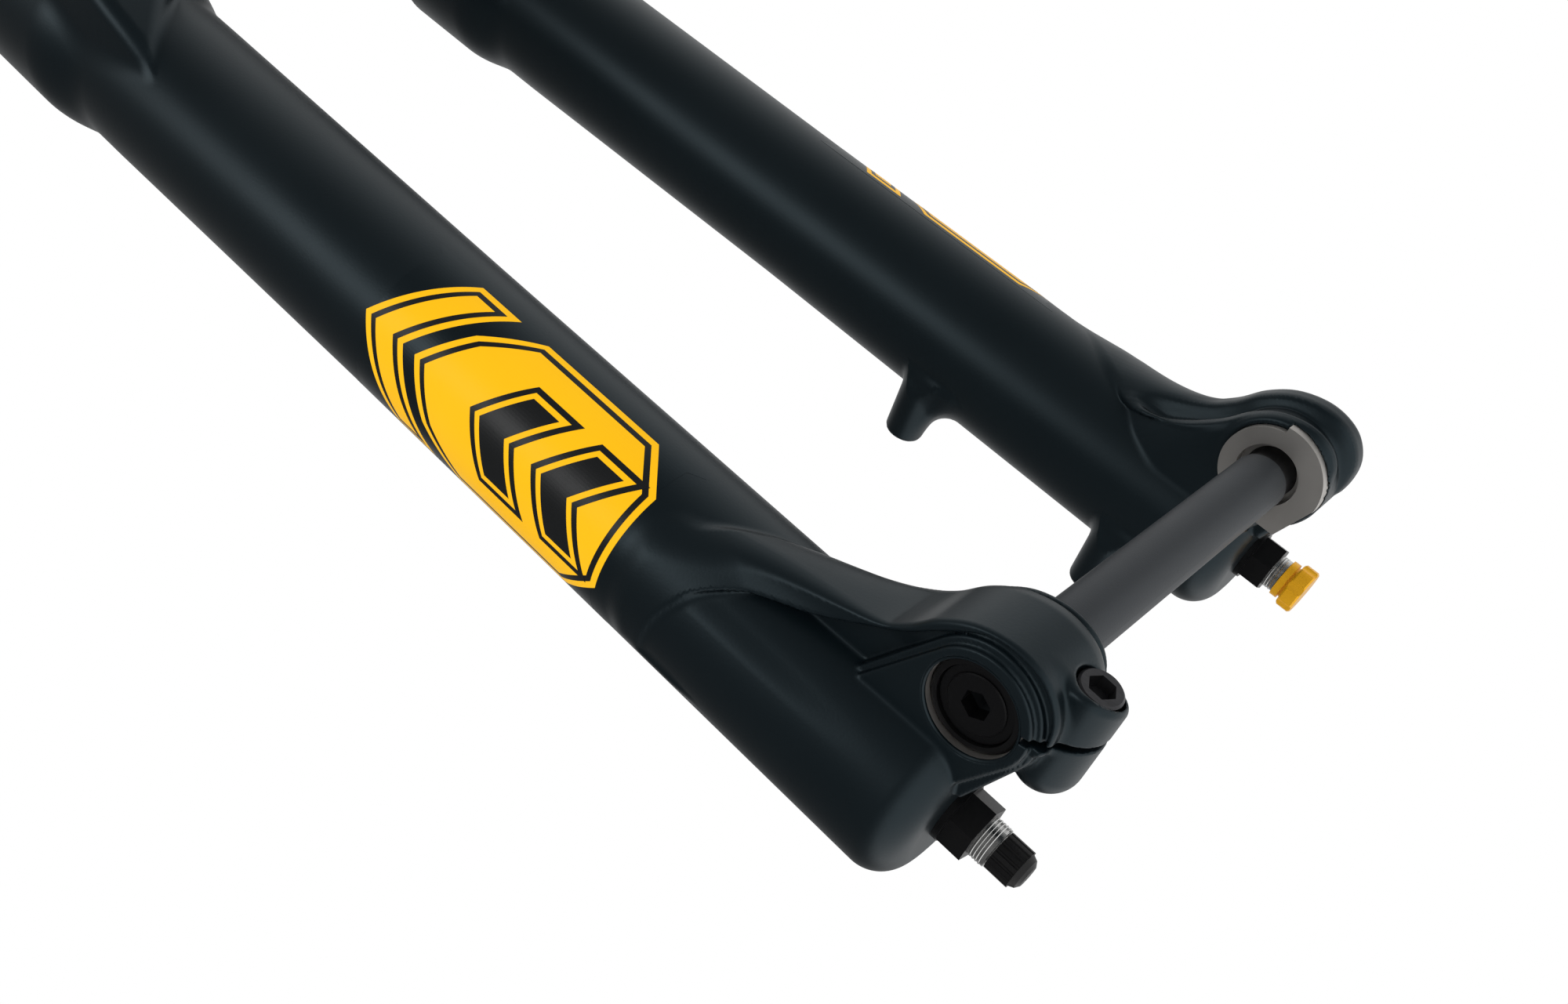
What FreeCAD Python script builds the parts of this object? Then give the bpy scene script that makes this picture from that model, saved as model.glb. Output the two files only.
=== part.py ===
"""Long-travel suspension fork: crown assembly, sliding lowers, damper, air spring and thru axle.

Frame: origin at the axle's centre, +X forward, +Y to the rider's left, +Z up along the steerer. Millimetres.
"""
import FreeCAD
import Part
import math
import os

Vector = FreeCAD.Vector

# Driving dimensions
TRAVEL = 170.0
LEG_SPACING = 150.0
LEG_X = -34.3
STEERER_X = -44.0
AXLE_TO_CROWN = 583.0
HUB_WIDTH = 110.0
AXLE_R = 7.5
POST_MOUNT_SPACING = 74.2

# Stanchions and crown
CAP_SEAT = AXLE_TO_CROWN + 2
ADJUSTER_BASE = CAP_SEAT + 4.3
CROWN_HUB_R = 27.0
VALVE_BORE_R = 2.3
VALVE_PIN_R = 1.0
STANCHION_R = 19.0
STANCHION_BORE_R = 16.9
STANCHION_BOTTOM = 190.0
CROWN_BOTTOM = 545.0
SOCKET_R = 24.5
STEERER_SEAT_R = 19.9
STEERER_PRESS_R = 20.2
STEERER_TOP_R = 14.3
STEERER_BORE_R = 12.0
STEERER_LENGTH = 210.0

# Damper and air spring
SEAL_HEAD_BOTTOM = 192.0
SEAL_HEAD_TOP = 206.0
CARTRIDGE_R = 15.6
CARTRIDGE_BORE_R = 14.0
CARTRIDGE_BOTTOM = 201.0
CARTRIDGE_TOP = 562.5
DAMPER_HEAD_TOP = 214.0
BUMPER_TOP = SEAL_HEAD_BOTTOM - TRAVEL - 0.6
BASE_VALVE_BOTTOM = 488.0
BASE_VALVE_TOP = 502.0
BASE_STEM_R = 9.0
BASE_STEM_TOP = 524.0
NEEDLE_R = 1.5
NEEDLE_TIP = 512.0
PISTON_BOTTOM = 226.0
PISTON_TOP = 238.0
AIR_PISTON_BOTTOM = 216.0
AIR_PISTON_TOP = 230.0
AIR_PISTON_R = 16.8
SEAL_GROOVE_R = 14.4

# Lower legs
LEG_R = 22.9
LEG_TOP_R = 23.6
FLARE_R = 27.5
LEG_BOTTOM = -6.0
LEG_FLOOR = 8.0
FLARE_START = 300.0
FLARE_FULL = 312.0
LEG_TOP = 350.0
LEG_FILLET = 9.0
LEG_CAVITY_R = 19.9
BUSHING_R = 20.4
SEAL_POCKET_R = 24.4
SEAL_POCKET_BOTTOM = 330.0
ARCH_REAR_X = -7.5
ARCH_FRONT_X = 12.5
ARCH_TOP = 413.0
ARCH_TIP = 274.0
ARCH_UNDERSIDE = 387.0

# Dropouts
DROPOUT_IN = HUB_WIDTH / 2
DROPOUT_OUT = 85.0
RIGHT_BOSS_IN = 58.0
LEFT_OUT = 76.0
SLEEVE_OUT = 83.0
BOSS_R = 18.5
BOSS_FACE_R = 13.7
WEB_IN = 60.0
SLEEVE_R = 10.85
SLEEVE_BORE_R = 10.9
PINCH_Y = -73.0
PINCH_Z = -15.9
PINCH_TILT = 2.0
SLOT_TILT = 14.0
LOBE_R = 8.0
LOBE_REAR = -13.5
LOBE_FRONT = 16.0
SLOT_WIDTH = 1.6
PINCH_HOLE_R = 3.05
PINCH_HEAD_R = 5.0
PINCH_SPOTFACE_R = 5.6
PINCH_HEAD_AT = 11.0
INSERT_R = 9.5
AXLE_NECK_R = 7.0
AXLE_SHOULDER = 50.5
AXLE_THREAD_START = 58.5
AXLE_END = 70.5
AXLE_HEAD_R = 9.0
AXLE_HEAD_SEAT = 79.0
AXLE_BORE_R = 4.6
INSERT_MOUTH_R = 8.6
POST_R = 6.2
POST_HOLE_R = 2.6
POST_SETBACK = 18.0
POST_FACE_X = -65.0
POST_HIGH = 99.0
FLANGE_R = 13.3
FLANGE_STEP_R = 15.1
FLANGE_THICK = 3.9

# Shafts and feet
SHAFT_R = 5.0
FOOT_HOLE_R = 5.4
SHAFT_END = -17.0
NUT_BOTTOM = -14.0
NUT_FLANGE = -7.6
FOOT_VALVE_END = -24.2
FOOT_VALVE_STEP = -18.2
CAP_TOP = -18.5
CAP_SKIRT_END = -24.6
CAP_END = -26.8
REBOUND_ROD_R = 2.0
KNOB_TOP = -17.2
KNOB_GROOVE = -19.2
KNOB_HEAD = -20.0
KNOB_END = -24.5
NUT_AF = 13.0
FIT = 0.05
CLOSE = 0.02

RIGHT_Y = -LEG_SPACING / 2
LEFT_Y = LEG_SPACING / 2
LEG_CENTRES = {"right": RIGHT_Y, "left": LEFT_Y}
POST_Y = LEFT_Y - POST_SETBACK
POST_HEIGHTS = (POST_HIGH, POST_HIGH - POST_MOUNT_SPACING)


def export(shape, name):
    """Checks one sub-part and writes it under its node name."""
    shape = shape.removeSplitter() if not isinstance(shape, Part.Compound) else shape
    solids = shape.Solids
    if not solids or not shape.isValid():
        raise ValueError("bad shape: " + name)
    shape.exportStep("parts/" + name + ".step")
    print(name, len(solids), "solid(s)", round(shape.Volume, 1), "mm3")


def cylinder(radius, low, high, x=0.0, y=0.0):
    """Upright cylinder between two heights."""
    return Part.makeCylinder(radius, high - low, Vector(x, y, low))


def tube(outer, inner, low, high, x=0.0, y=0.0):
    """Upright tube between two heights."""
    return cylinder(outer, low, high, x, y).cut(cylinder(inner, low - 1, high + 1, x, y))


def cross_cylinder(radius, low, high, x=0.0, z=0.0):
    """Cylinder along Y between two values of Y."""
    return Part.makeCylinder(radius, high - low, Vector(x, low, z), Vector(0, 1, 0))


def turned(profile, x=0.0, y=0.0):
    """Solid turned about an upright axis from (radius, height) points."""
    points = [Vector(r, 0, z) for r, z in profile]
    face = Part.Face(Part.makePolygon(points + [points[0]]))
    solid = face.revolve(Vector(0, 0, 0), Vector(0, 0, 1), 360)
    solid.translate(Vector(x, y, 0))
    return solid


def cross_turned(profile, x=0.0, z=0.0):
    """Solid turned about an axis along Y from (radius, y) points."""
    points = [Vector(r, y, 0) for r, y in profile]
    face = Part.Face(Part.makePolygon(points + [points[0]]))
    face.rotate(Vector(0, 0, 0), Vector(0, 1, 0), 70)
    solid = face.revolve(Vector(0, 0, 0), Vector(0, 1, 0), 360)
    solid.translate(Vector(x, 0, z))
    return solid


def hexagon(across_flats, low, high, x=0.0, y=0.0):
    """Upright hexagonal prism."""
    corner = across_flats / math.sqrt(3)
    points = []
    for index in range(7):
        angle = math.radians(60 * index)
        points.append(Vector(x + corner * math.cos(angle), y + corner * math.sin(angle), low))
    return Part.Face(Part.makePolygon(points)).extrude(Vector(0, 0, high - low))


def ribbed_cap(radius, rib_depth, ribs, low, high, x, y):
    """Round cap with grip grooves down its side."""
    body = cylinder(radius, low, high, x, y)
    for index in range(ribs):
        angle = 2 * math.pi * index / ribs
        groove_x = x + (radius + rib_depth * 0.4) * math.cos(angle)
        groove_y = y + (radius + rib_depth * 0.4) * math.sin(angle)
        body = body.cut(cylinder(rib_depth, low - 1, high + 1, groove_x, groove_y))
    return body


def side_plate(outline, low_y, high_y):
    """Plate with an (x, z) outline, thick along Y."""
    points = [Vector(x, low_y, z) for x, z in outline]
    face = Part.Face(Part.makePolygon(points + [points[0]]))
    return face.extrude(Vector(0, high_y - low_y, 0))


# ---------------------------------------------------------------- crown assembly


def steerer_tube():
    """Tapered steerer, pressed into the crown's hub."""
    seat_top = AXLE_TO_CROWN + 8
    taper_top = seat_top + 60
    top = AXLE_TO_CROWN + STEERER_LENGTH
    outside = [(0, CROWN_BOTTOM + 3), (STEERER_PRESS_R, CROWN_BOTTOM + 3), (STEERER_PRESS_R, AXLE_TO_CROWN)]
    outside += [(STEERER_SEAT_R, AXLE_TO_CROWN), (STEERER_SEAT_R, seat_top)]
    outside += [(18.4, seat_top + 4), (STEERER_TOP_R, taper_top), (STEERER_TOP_R, top), (0, top)]
    inside = [(0, CROWN_BOTTOM), (16.6, CROWN_BOTTOM), (16.6, seat_top), (15.6, seat_top + 4)]
    inside += [(STEERER_BORE_R, taper_top), (STEERER_BORE_R, top + 1), (0, top + 1)]
    return turned(outside, STEERER_X).cut(turned(inside, STEERER_X))


def fork_crown():
    """Forged crown: two stanchion sockets joined by a hollowed bridge to the steerer hub."""
    crown = cylinder(CROWN_HUB_R, CROWN_BOTTOM + 3, AXLE_TO_CROWN, STEERER_X)
    for side_y in (RIGHT_Y, LEFT_Y):
        socket = cylinder(SOCKET_R, CROWN_BOTTOM, AXLE_TO_CROWN, LEG_X, side_y)
        socket = socket.makeFillet(2.0, socket.Edges)
        crown = crown.fuse(socket)
        outline = [Vector(STEERER_X - 20, 0, 0), Vector(LEG_X - 19, side_y, 0)]
        outline += [Vector(LEG_X + 19, side_y, 0), Vector(STEERER_X + 26, 0, 0)]
        arm = Part.Face(Part.makePolygon(outline + [outline[0]])).extrude(Vector(0, 0, 30))
        arm.translate(Vector(0, 0, CROWN_BOTTOM + 6))
        crown = crown.fuse(arm)
    for side in (-1, 1):
        pocket = Part.makeBox(20, 18, 24, Vector(STEERER_X - 8, side * 38 - 9, CROWN_BOTTOM + 4))
        pocket = pocket.makeFillet(5.0, [e for e in pocket.Edges if abs(e.tangentAt(0).z) > 0.9])
        crown = crown.cut(pocket)
    crown = crown.cut(cylinder(STEERER_PRESS_R + CLOSE, CROWN_BOTTOM - 1, AXLE_TO_CROWN + 1, STEERER_X))
    for side_y in (RIGHT_Y, LEFT_Y):
        crown = crown.cut(cylinder(STANCHION_R + CLOSE, CROWN_BOTTOM - 1, AXLE_TO_CROWN + 1, LEG_X, side_y))
    return crown


def stanchion(side_y):
    """Upper tube, held in the crown's socket."""
    body = tube(STANCHION_R, STANCHION_BORE_R, STANCHION_BOTTOM, CAP_SEAT, LEG_X, side_y)
    rims = [e for e in body.Edges if abs(e.BoundBox.ZMin - STANCHION_BOTTOM) < 0.01]
    return body.makeChamfer(0.8, rims)


def cap_body(side_y, bore):
    """Threaded top cap with a flange over the stanchion's end and a hexagon to turn it by."""
    cap = cylinder(STANCHION_BORE_R - CLOSE, CAP_SEAT - 22, CAP_SEAT + CLOSE, LEG_X, side_y)
    flange = cylinder(STANCHION_R + 2.2, CAP_SEAT + CLOSE, CAP_SEAT + 4, LEG_X, side_y)
    flange = flange.makeChamfer(1.0, [e for e in flange.Edges if e.BoundBox.ZMin > CAP_SEAT + 3.9])
    cap = cap.fuse(flange)
    return cap.cut(cylinder(bore, CAP_SEAT - 40, CAP_SEAT + 40, LEG_X, side_y))


def air_top_cap():
    """Right top cap with the main valve's stem."""
    cap = cap_body(RIGHT_Y, VALVE_BORE_R)
    cap = cap.fuse(tube(11.0, VALVE_BORE_R, CAP_SEAT + 4, CAP_SEAT + 7, LEG_X, RIGHT_Y))
    return cap.fuse(tube(3.85, VALVE_BORE_R, CAP_SEAT + 7, CAP_SEAT + 17, LEG_X, RIGHT_Y))


def valve_core(low, high, side_y):
    """Brass valve core sleeve; its pin slides in it."""
    return tube(VALVE_BORE_R - CLOSE, VALVE_PIN_R, low, high, LEG_X, side_y)


def valve_pin(low, high, side_y):
    """Spring-returned pin of a valve core."""
    return cylinder(VALVE_PIN_R - FIT, low, high, LEG_X, side_y)


def main_valve_cover():
    """Ribbed cover screwed over the main valve."""
    cover = ribbed_cap(13.0, 1.0, 18, CAP_SEAT + 7.3, CAP_SEAT + 23, LEG_X, RIGHT_Y)
    return cover.cut(cylinder(3.9, CAP_SEAT + 7, CAP_SEAT + 19, LEG_X, RIGHT_Y))


def damper_top_cap():
    """Left top cap that carries the compression adjusters."""
    return cap_body(LEFT_Y, 5.0)


def high_speed_knob():
    """Outer compression knob with grip notches."""
    knob = ribbed_cap(14.0, 1.4, 12, ADJUSTER_BASE, ADJUSTER_BASE + 8, LEG_X, LEFT_Y)
    return knob.cut(cylinder(7.6, ADJUSTER_BASE - 1, ADJUSTER_BASE + 9, LEG_X, LEFT_Y))


def low_speed_knob():
    """Inner compression knob, standing above the outer one."""
    head_low = ADJUSTER_BASE + 8.5
    knob = cylinder(7.5, ADJUSTER_BASE, head_low, LEG_X, LEFT_Y)
    knob = knob.fuse(ribbed_cap(9.5, 0.9, 16, head_low, head_low + 5.5, LEG_X, LEFT_Y))
    return knob.cut(cylinder(NEEDLE_R + CLOSE, ADJUSTER_BASE - 1, ADJUSTER_BASE + 6, LEG_X, LEFT_Y))


def compression_needle():
    """Rod from the low-speed knob down to the compression valve."""
    rod_top = ADJUSTER_BASE + 5
    profile = [(0, NEEDLE_TIP), (NEEDLE_R, NEEDLE_TIP + 5), (NEEDLE_R, rod_top), (0, rod_top)]
    return turned(profile, LEG_X, LEFT_Y)


# ---------------------------------------------------------------- damper, fixed parts


def damper_tube():
    """Cartridge tube inside the left stanchion."""
    return tube(CARTRIDGE_R, CARTRIDGE_BORE_R, CARTRIDGE_BOTTOM, CARTRIDGE_TOP, LEG_X, LEFT_Y)


def damper_seal_head():
    """Seal head that closes the cartridge's lower end and guides the shaft."""
    outer = STANCHION_BORE_R - CLOSE
    spigot = CARTRIDGE_BORE_R - CLOSE
    step = CARTRIDGE_BOTTOM - 0.5
    profile = [(SHAFT_R + FIT, SEAL_HEAD_BOTTOM), (outer, SEAL_HEAD_BOTTOM), (outer, step)]
    profile += [(spigot, step), (spigot, DAMPER_HEAD_TOP), (SHAFT_R + FIT, DAMPER_HEAD_TOP)]
    return turned(profile, LEG_X, LEFT_Y)


def compression_valve():
    """Base valve of the damper, seated in the cartridge tube."""
    body = tube(CARTRIDGE_BORE_R - CLOSE, 2.0, BASE_VALVE_BOTTOM, BASE_VALVE_TOP, LEG_X, LEFT_Y)
    body = body.fuse(tube(BASE_STEM_R, 2.0, BASE_VALVE_TOP, BASE_STEM_TOP, LEG_X, LEFT_Y))
    for index in range(6):
        angle = math.radians(60 * index)
        port_x = LEG_X + 11.4 * math.cos(angle)
        port_y = LEFT_Y + 11.4 * math.sin(angle)
        body = body.cut(cylinder(1.4, BASE_VALVE_BOTTOM - 1, BASE_VALVE_TOP + 1, port_x, port_y))
    return body


def expansion_bladder():
    """Rubber bladder that takes up the oil the shaft displaces."""
    neck = BASE_STEM_R + CLOSE
    base = BASE_VALVE_TOP + 1
    outside = [(neck, base), (12.6, base), (13.2, base + 5), (13.2, base + 45)]
    outside += [(11.0, base + 51), (3.5, base + 53)]
    inside = [(3.5, base + 51.4), (10.2, base + 49.6), (11.8, base + 44), (11.8, base + 7), (neck, base + 5)]
    return turned(outside + inside, LEG_X, LEFT_Y)


# ---------------------------------------------------------------- damper and air spring, sliding parts


def damper_shaft():
    """Hollow damper shaft; its threaded lower end passes through the leg's foot."""
    return tube(SHAFT_R, REBOUND_ROD_R + 0.1, SHAFT_END, PISTON_TOP + 14, LEG_X, LEFT_Y)


def damper_piston():
    """Ported main piston of the damper."""
    body = tube(CARTRIDGE_BORE_R - FIT, SHAFT_R + CLOSE, PISTON_BOTTOM, PISTON_TOP, LEG_X, LEFT_Y)
    for index in range(6):
        angle = math.radians(60 * index + 30)
        port_x = LEG_X + 10.6 * math.cos(angle)
        port_y = LEFT_Y + 10.6 * math.sin(angle)
        body = body.cut(cylinder(1.6, PISTON_BOTTOM - 1, PISTON_TOP + 1, port_x, port_y))
    return body


def piston_shims():
    """Thin shims stacked on both faces of the piston."""
    shims = []
    for index in range(5):
        radius = 9.0 - 0.8 * index
        for base in (PISTON_TOP + 0.03 + 0.35 * index, PISTON_BOTTOM - 0.33 - 0.35 * index):
            shims.append(tube(radius, SHAFT_R + CLOSE, base, base + 0.3, LEG_X, LEFT_Y))
    return Part.Compound(shims)


def piston_nut():
    """Nut that holds the piston stack on the shaft."""
    low = PISTON_TOP + 2
    nut = hexagon(NUT_AF, low, low + 5, LEG_X, LEFT_Y)
    return nut.cut(cylinder(SHAFT_R + CLOSE, low - 1, low + 6, LEG_X, LEFT_Y))


def rebound_rod():
    """Rod inside the damper shaft that the rebound knob turns."""
    low = KNOB_HEAD - 2
    high = PISTON_TOP + 8
    profile = [(0, low), (REBOUND_ROD_R, low), (REBOUND_ROD_R, high), (0, high + 5)]
    return turned(profile, LEG_X, LEFT_Y)


def rebound_knob():
    """Knurled rebound knob under the left foot: a collar, a groove and a six-lobed head."""
    collar = cylinder(5.7, KNOB_GROOVE, KNOB_TOP, LEG_X, LEFT_Y)
    neck = cylinder(4.9, KNOB_HEAD, KNOB_GROOVE, LEG_X, LEFT_Y)
    head = cylinder(6.9, KNOB_END, KNOB_HEAD, LEG_X, LEFT_Y)
    head = head.makeChamfer(0.5, head.Edges)
    for index in range(6):
        angle = math.radians(60 * index)
        notch_x = LEG_X + 9.6 * math.cos(angle)
        notch_y = LEFT_Y + 9.6 * math.sin(angle)
        head = head.cut(cylinder(3.2, KNOB_END - 1.5, KNOB_HEAD + 0.5, notch_x, notch_y))
    knob = collar.fuse([neck, head])
    return knob.cut(cylinder(REBOUND_ROD_R + CLOSE, KNOB_HEAD - 2, KNOB_TOP + 1, LEG_X, LEFT_Y))


def air_seal_head():
    """Seal head that closes the right stanchion's lower end and guides the air shaft."""
    return tube(STANCHION_BORE_R - CLOSE, SHAFT_R + FIT, SEAL_HEAD_BOTTOM, SEAL_HEAD_TOP, LEG_X, RIGHT_Y)


def air_shaft():
    """Hollow air shaft; its silver threaded end carries the second valve."""
    top = AIR_PISTON_TOP + 2
    outside = [(0, FOOT_VALVE_END), (3.4, FOOT_VALVE_END), (3.4, FOOT_VALVE_STEP), (SHAFT_R, FOOT_VALVE_STEP)]
    outside += [(SHAFT_R, top), (0, top)]
    return turned(outside, LEG_X, RIGHT_Y).cut(cylinder(VALVE_BORE_R, CAP_END, top + 1, LEG_X, RIGHT_Y))


def air_piston():
    """Air piston with a groove for its seal."""
    bore = SHAFT_R + CLOSE
    groove_low = AIR_PISTON_BOTTOM + 5
    groove_high = AIR_PISTON_BOTTOM + 9
    profile = [(bore, AIR_PISTON_BOTTOM), (AIR_PISTON_R, AIR_PISTON_BOTTOM), (AIR_PISTON_R, groove_low)]
    profile += [(SEAL_GROOVE_R, groove_low), (SEAL_GROOVE_R, groove_high), (AIR_PISTON_R, groove_high)]
    profile += [(AIR_PISTON_R, AIR_PISTON_TOP), (bore, AIR_PISTON_TOP)]
    return turned(profile, LEG_X, RIGHT_Y)


def air_piston_seal():
    """Square-section seal in the air piston's groove."""
    low = AIR_PISTON_BOTTOM + 5.1
    return tube(STANCHION_BORE_R - FIT, SEAL_GROOVE_R + CLOSE, low, low + 3.8, LEG_X, RIGHT_Y)


def bumper(low, high, radius, side_y):
    """Rubber bumper on a shaft, waisted at mid height."""
    middle = (low + high) / 2
    profile = [(SHAFT_R + CLOSE, low), (radius, low), (radius - 1.5, middle), (radius, high)]
    profile += [(SHAFT_R + CLOSE, high)]
    return turned(profile, LEG_X, side_y)


def foot_nut(side_y):
    """Flanged nut that clamps a shaft's threaded end to the leg's foot."""
    nut = cylinder(7.6, NUT_FLANGE, LEG_BOTTOM, LEG_X, side_y)
    nut = nut.fuse(hexagon(NUT_AF, NUT_BOTTOM, NUT_FLANGE, LEG_X, side_y))
    return nut.cut(cylinder(SHAFT_R + CLOSE, NUT_BOTTOM - 1, LEG_BOTTOM + 1, LEG_X, side_y))


def ramp_valve_cap():
    """Ribbed black cap on the valve under the right foot."""
    cap = ribbed_cap(4.75, 0.45, 16, CAP_SKIRT_END, CAP_TOP, LEG_X, RIGHT_Y)
    dome = [(0, CAP_END), (2.6, CAP_END + 0.2), (3.7, CAP_END + 0.9)]
    dome += [(4.3, CAP_SKIRT_END), (0, CAP_SKIRT_END)]
    cap = cap.fuse(turned(dome, LEG_X, RIGHT_Y))
    return cap.cut(cylinder(3.9, CAP_END + 1.6, CAP_TOP + 0.6, LEG_X, RIGHT_Y))


# ---------------------------------------------------------------- lowers


def lower_leg(side_y):
    """Outside of one leg, with its flared top."""
    profile = [(0, LEG_BOTTOM), (LEG_R, LEG_BOTTOM), (LEG_R, 170), (LEG_TOP_R, FLARE_START - 8)]
    profile += [(LEG_TOP_R, FLARE_START), (FLARE_R, FLARE_FULL), (FLARE_R, LEG_TOP - 3)]
    profile += [(FLARE_R - 1.5, LEG_TOP), (0, LEG_TOP)]
    leg = turned(profile)
    leg.rotate(Vector(0, 0, 0), Vector(0, 0, 1), 100 if side_y > 0 else -100)
    leg.translate(Vector(LEG_X, side_y, 0))
    rim = [e for e in leg.Edges if e.BoundBox.ZMax < LEG_BOTTOM + 0.1 and e.BoundBox.XLength > 40]
    return leg.makeFillet(LEG_FILLET, rim)


def leg_cavity(side_y):
    """Inside of one leg: oil space, bushing seats and seal pocket."""
    cavity = cylinder(LEG_CAVITY_R, LEG_FLOOR, LEG_TOP + 1, LEG_X, side_y)
    cavity = cavity.fuse(cylinder(BUSHING_R, 205.0, SEAL_POCKET_BOTTOM + 1, LEG_X, side_y))
    cavity = cavity.fuse(cylinder(SEAL_POCKET_R, SEAL_POCKET_BOTTOM, LEG_TOP + 1, LEG_X, side_y))
    return cavity.fuse(cylinder(FOOT_HOLE_R, LEG_BOTTOM - 1, LEG_FLOOR + 1, LEG_X, side_y))


def curve_points(start, control, end, count):
    """Points along a quadratic curve, without its first point."""
    points = []
    for index in range(1, count + 1):
        t = index / count
        first = (1 - t) ** 2
        second = 2 * t * (1 - t)
        third = t * t
        x = first * start[0] + second * control[0] + third * end[0]
        z = first * start[1] + second * control[1] + third * end[1]
        points.append((x, z))
    return points


def dropout_web(inner, outer):
    """Swan-neck plate from the leg's front down to the axle boss, between two values of Y."""
    outline = [(LEG_X + 4, 67.0), (LEG_X + 14, 60.0)]
    outline += curve_points(outline[-1], (-7.0, 26.0), (4.0, 17.3), 8)
    outline += [(10.0, 8.0), (10.0, -8.0), (-4.0, -16.7), (-22.0, -10.5), (LEG_X + 4, LEG_BOTTOM + 4.3)]
    return side_plate(outline, min(inner, outer), max(inner, outer))


def right_dropout():
    """Right dropout: web, axle boss and the clamp lobes around the pinch bolt."""
    boss = [(0, -DROPOUT_OUT), (BOSS_R - 1.5, -DROPOUT_OUT), (BOSS_R, -DROPOUT_OUT + 1.5), (BOSS_R, -64)]
    boss += [(BOSS_FACE_R, -RIGHT_BOSS_IN), (0, -RIGHT_BOSS_IN)]
    body = cross_turned(boss).fuse(dropout_web(-WEB_IN, -DROPOUT_OUT + 5))
    corner = Vector(LOBE_REAR, PINCH_Y - LOBE_R, PINCH_Z - LOBE_R)
    lobes = Part.makeBox(LOBE_FRONT - LOBE_REAR, 2 * LOBE_R, 2 * LOBE_R, corner)
    lobes = lobes.makeFillet(5.5, [e for e in lobes.Edges if abs(e.tangentAt(0).x) > 0.9])
    lobes.rotate(Vector(0, PINCH_Y, PINCH_Z), Vector(0, 1, 0), PINCH_TILT)
    return body.fuse(lobes)


def left_dropout():
    """Left dropout: web and closed axle boss that holds the threaded insert."""
    boss = [(0, DROPOUT_IN + 2), (BOSS_R - 1.8, DROPOUT_IN + 2), (BOSS_R, DROPOUT_IN + 8)]
    boss += [(BOSS_R, LEFT_OUT - 5), (BOSS_R - 3.5, LEFT_OUT), (0, LEFT_OUT)]
    return cross_turned(boss).fuse(dropout_web(WEB_IN, LEFT_OUT - 3))


def arch():
    """Brace over the wheel, in front of the stanchions, whose ends run out on both leg fronts."""
    half = LEG_SPACING / 2
    outer = [(half + 17.0, ARCH_TIP), (half + 21.5, ARCH_TIP + 30), (half + 22.5, LEG_TOP - 6)]
    outer += curve_points(outer[-1], (half + 4.0, ARCH_TOP - 6), (20.0, ARCH_TOP), 8)
    inner = [(16.0, ARCH_UNDERSIDE)]
    inner += curve_points(inner[-1], (half - 27.0, ARCH_UNDERSIDE - 4), (half - 25.0, LEG_TOP - 8), 8)
    inner += [(half - 14.0, FLARE_FULL - 4), (half + 4.0, ARCH_TIP + 18)]
    mirrored_outer = [(-y, z) for y, z in reversed(outer)]
    mirrored_inner = [(-y, z) for y, z in reversed(inner)]
    outline = outer + mirrored_outer + mirrored_inner + inner
    rear_x = LEG_X + 3
    points = [Vector(rear_x, y, z) for y, z in outline]
    face = Part.Face(Part.makePolygon(points + [points[0]]))
    front_view = face.extrude(Vector(ARCH_FRONT_X - rear_x, 0, 0))
    side_outline = [(rear_x, ARCH_TIP - 10), (LEG_X + 15, ARCH_TIP - 4), (ARCH_REAR_X + 2, FLARE_START)]
    side_outline += [(ARCH_FRONT_X, LEG_TOP - 8), (ARCH_FRONT_X, ARCH_TOP + 1), (ARCH_REAR_X, ARCH_TOP + 1)]
    side_outline += [(ARCH_REAR_X, LEG_TOP - 5), (rear_x, LEG_TOP - 5)]
    return front_view.common(side_plate(side_outline, -half - 30, half + 30))


def post_mount(height):
    """Boss for one brake bolt on the rear of the left leg."""
    length = LEG_X - POST_FACE_X
    boss = Part.makeCylinder(POST_R, length, Vector(POST_FACE_X, POST_Y, height), Vector(1, 0, 0))
    outline = [(POST_FACE_X, height - 4), (POST_FACE_X, height + 4)]
    outline += [(LEG_X, height + 6), (LEG_X, height - 14)]
    return boss.fuse(side_plate(outline, POST_Y - 4, POST_Y + 7))


def lower_legs_casting():
    """One magnesium casting: legs, arch, dropouts and brake mounts."""
    casting = lower_leg(RIGHT_Y).fuse([lower_leg(LEFT_Y), arch()])
    casting = casting.fuse([right_dropout(), left_dropout()])
    for height in POST_HEIGHTS:
        casting = casting.fuse(post_mount(height))
    cuts = [leg_cavity(RIGHT_Y), leg_cavity(LEFT_Y)]
    cuts.append(cross_cylinder(SLEEVE_BORE_R, -DROPOUT_OUT - 1, -DROPOUT_IN + 1))
    slot = Part.makeBox(SLOT_WIDTH, 40.0, 30.0, Vector(-SLOT_WIDTH / 2, -DROPOUT_OUT - 5, -30.0))
    slot.rotate(Vector(0, 0, 0), Vector(0, 1, 0), -SLOT_TILT)
    cuts.append(slot)
    tilt = math.radians(PINCH_TILT)
    forward = Vector(math.cos(tilt), 0, -math.sin(tilt))
    middle = Vector(0, PINCH_Y, PINCH_Z)
    cuts.append(Part.makeCylinder(PINCH_HOLE_R, 60.0, middle - forward * 11, forward))
    cuts.append(Part.makeCylinder(PINCH_SPOTFACE_R, 20.0, middle + forward * PINCH_HEAD_AT, forward))
    cuts.append(cross_cylinder(INSERT_R + CLOSE, DROPOUT_IN + 1, LEFT_OUT - 2))
    cuts.append(insert_flange())
    for height in POST_HEIGHTS:
        start = Vector(POST_FACE_X - 1, POST_Y, height)
        cuts.append(Part.makeCylinder(POST_HOLE_R, 14.0, start, Vector(1, 0, 0)))
    return casting.cut(cuts)


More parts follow.
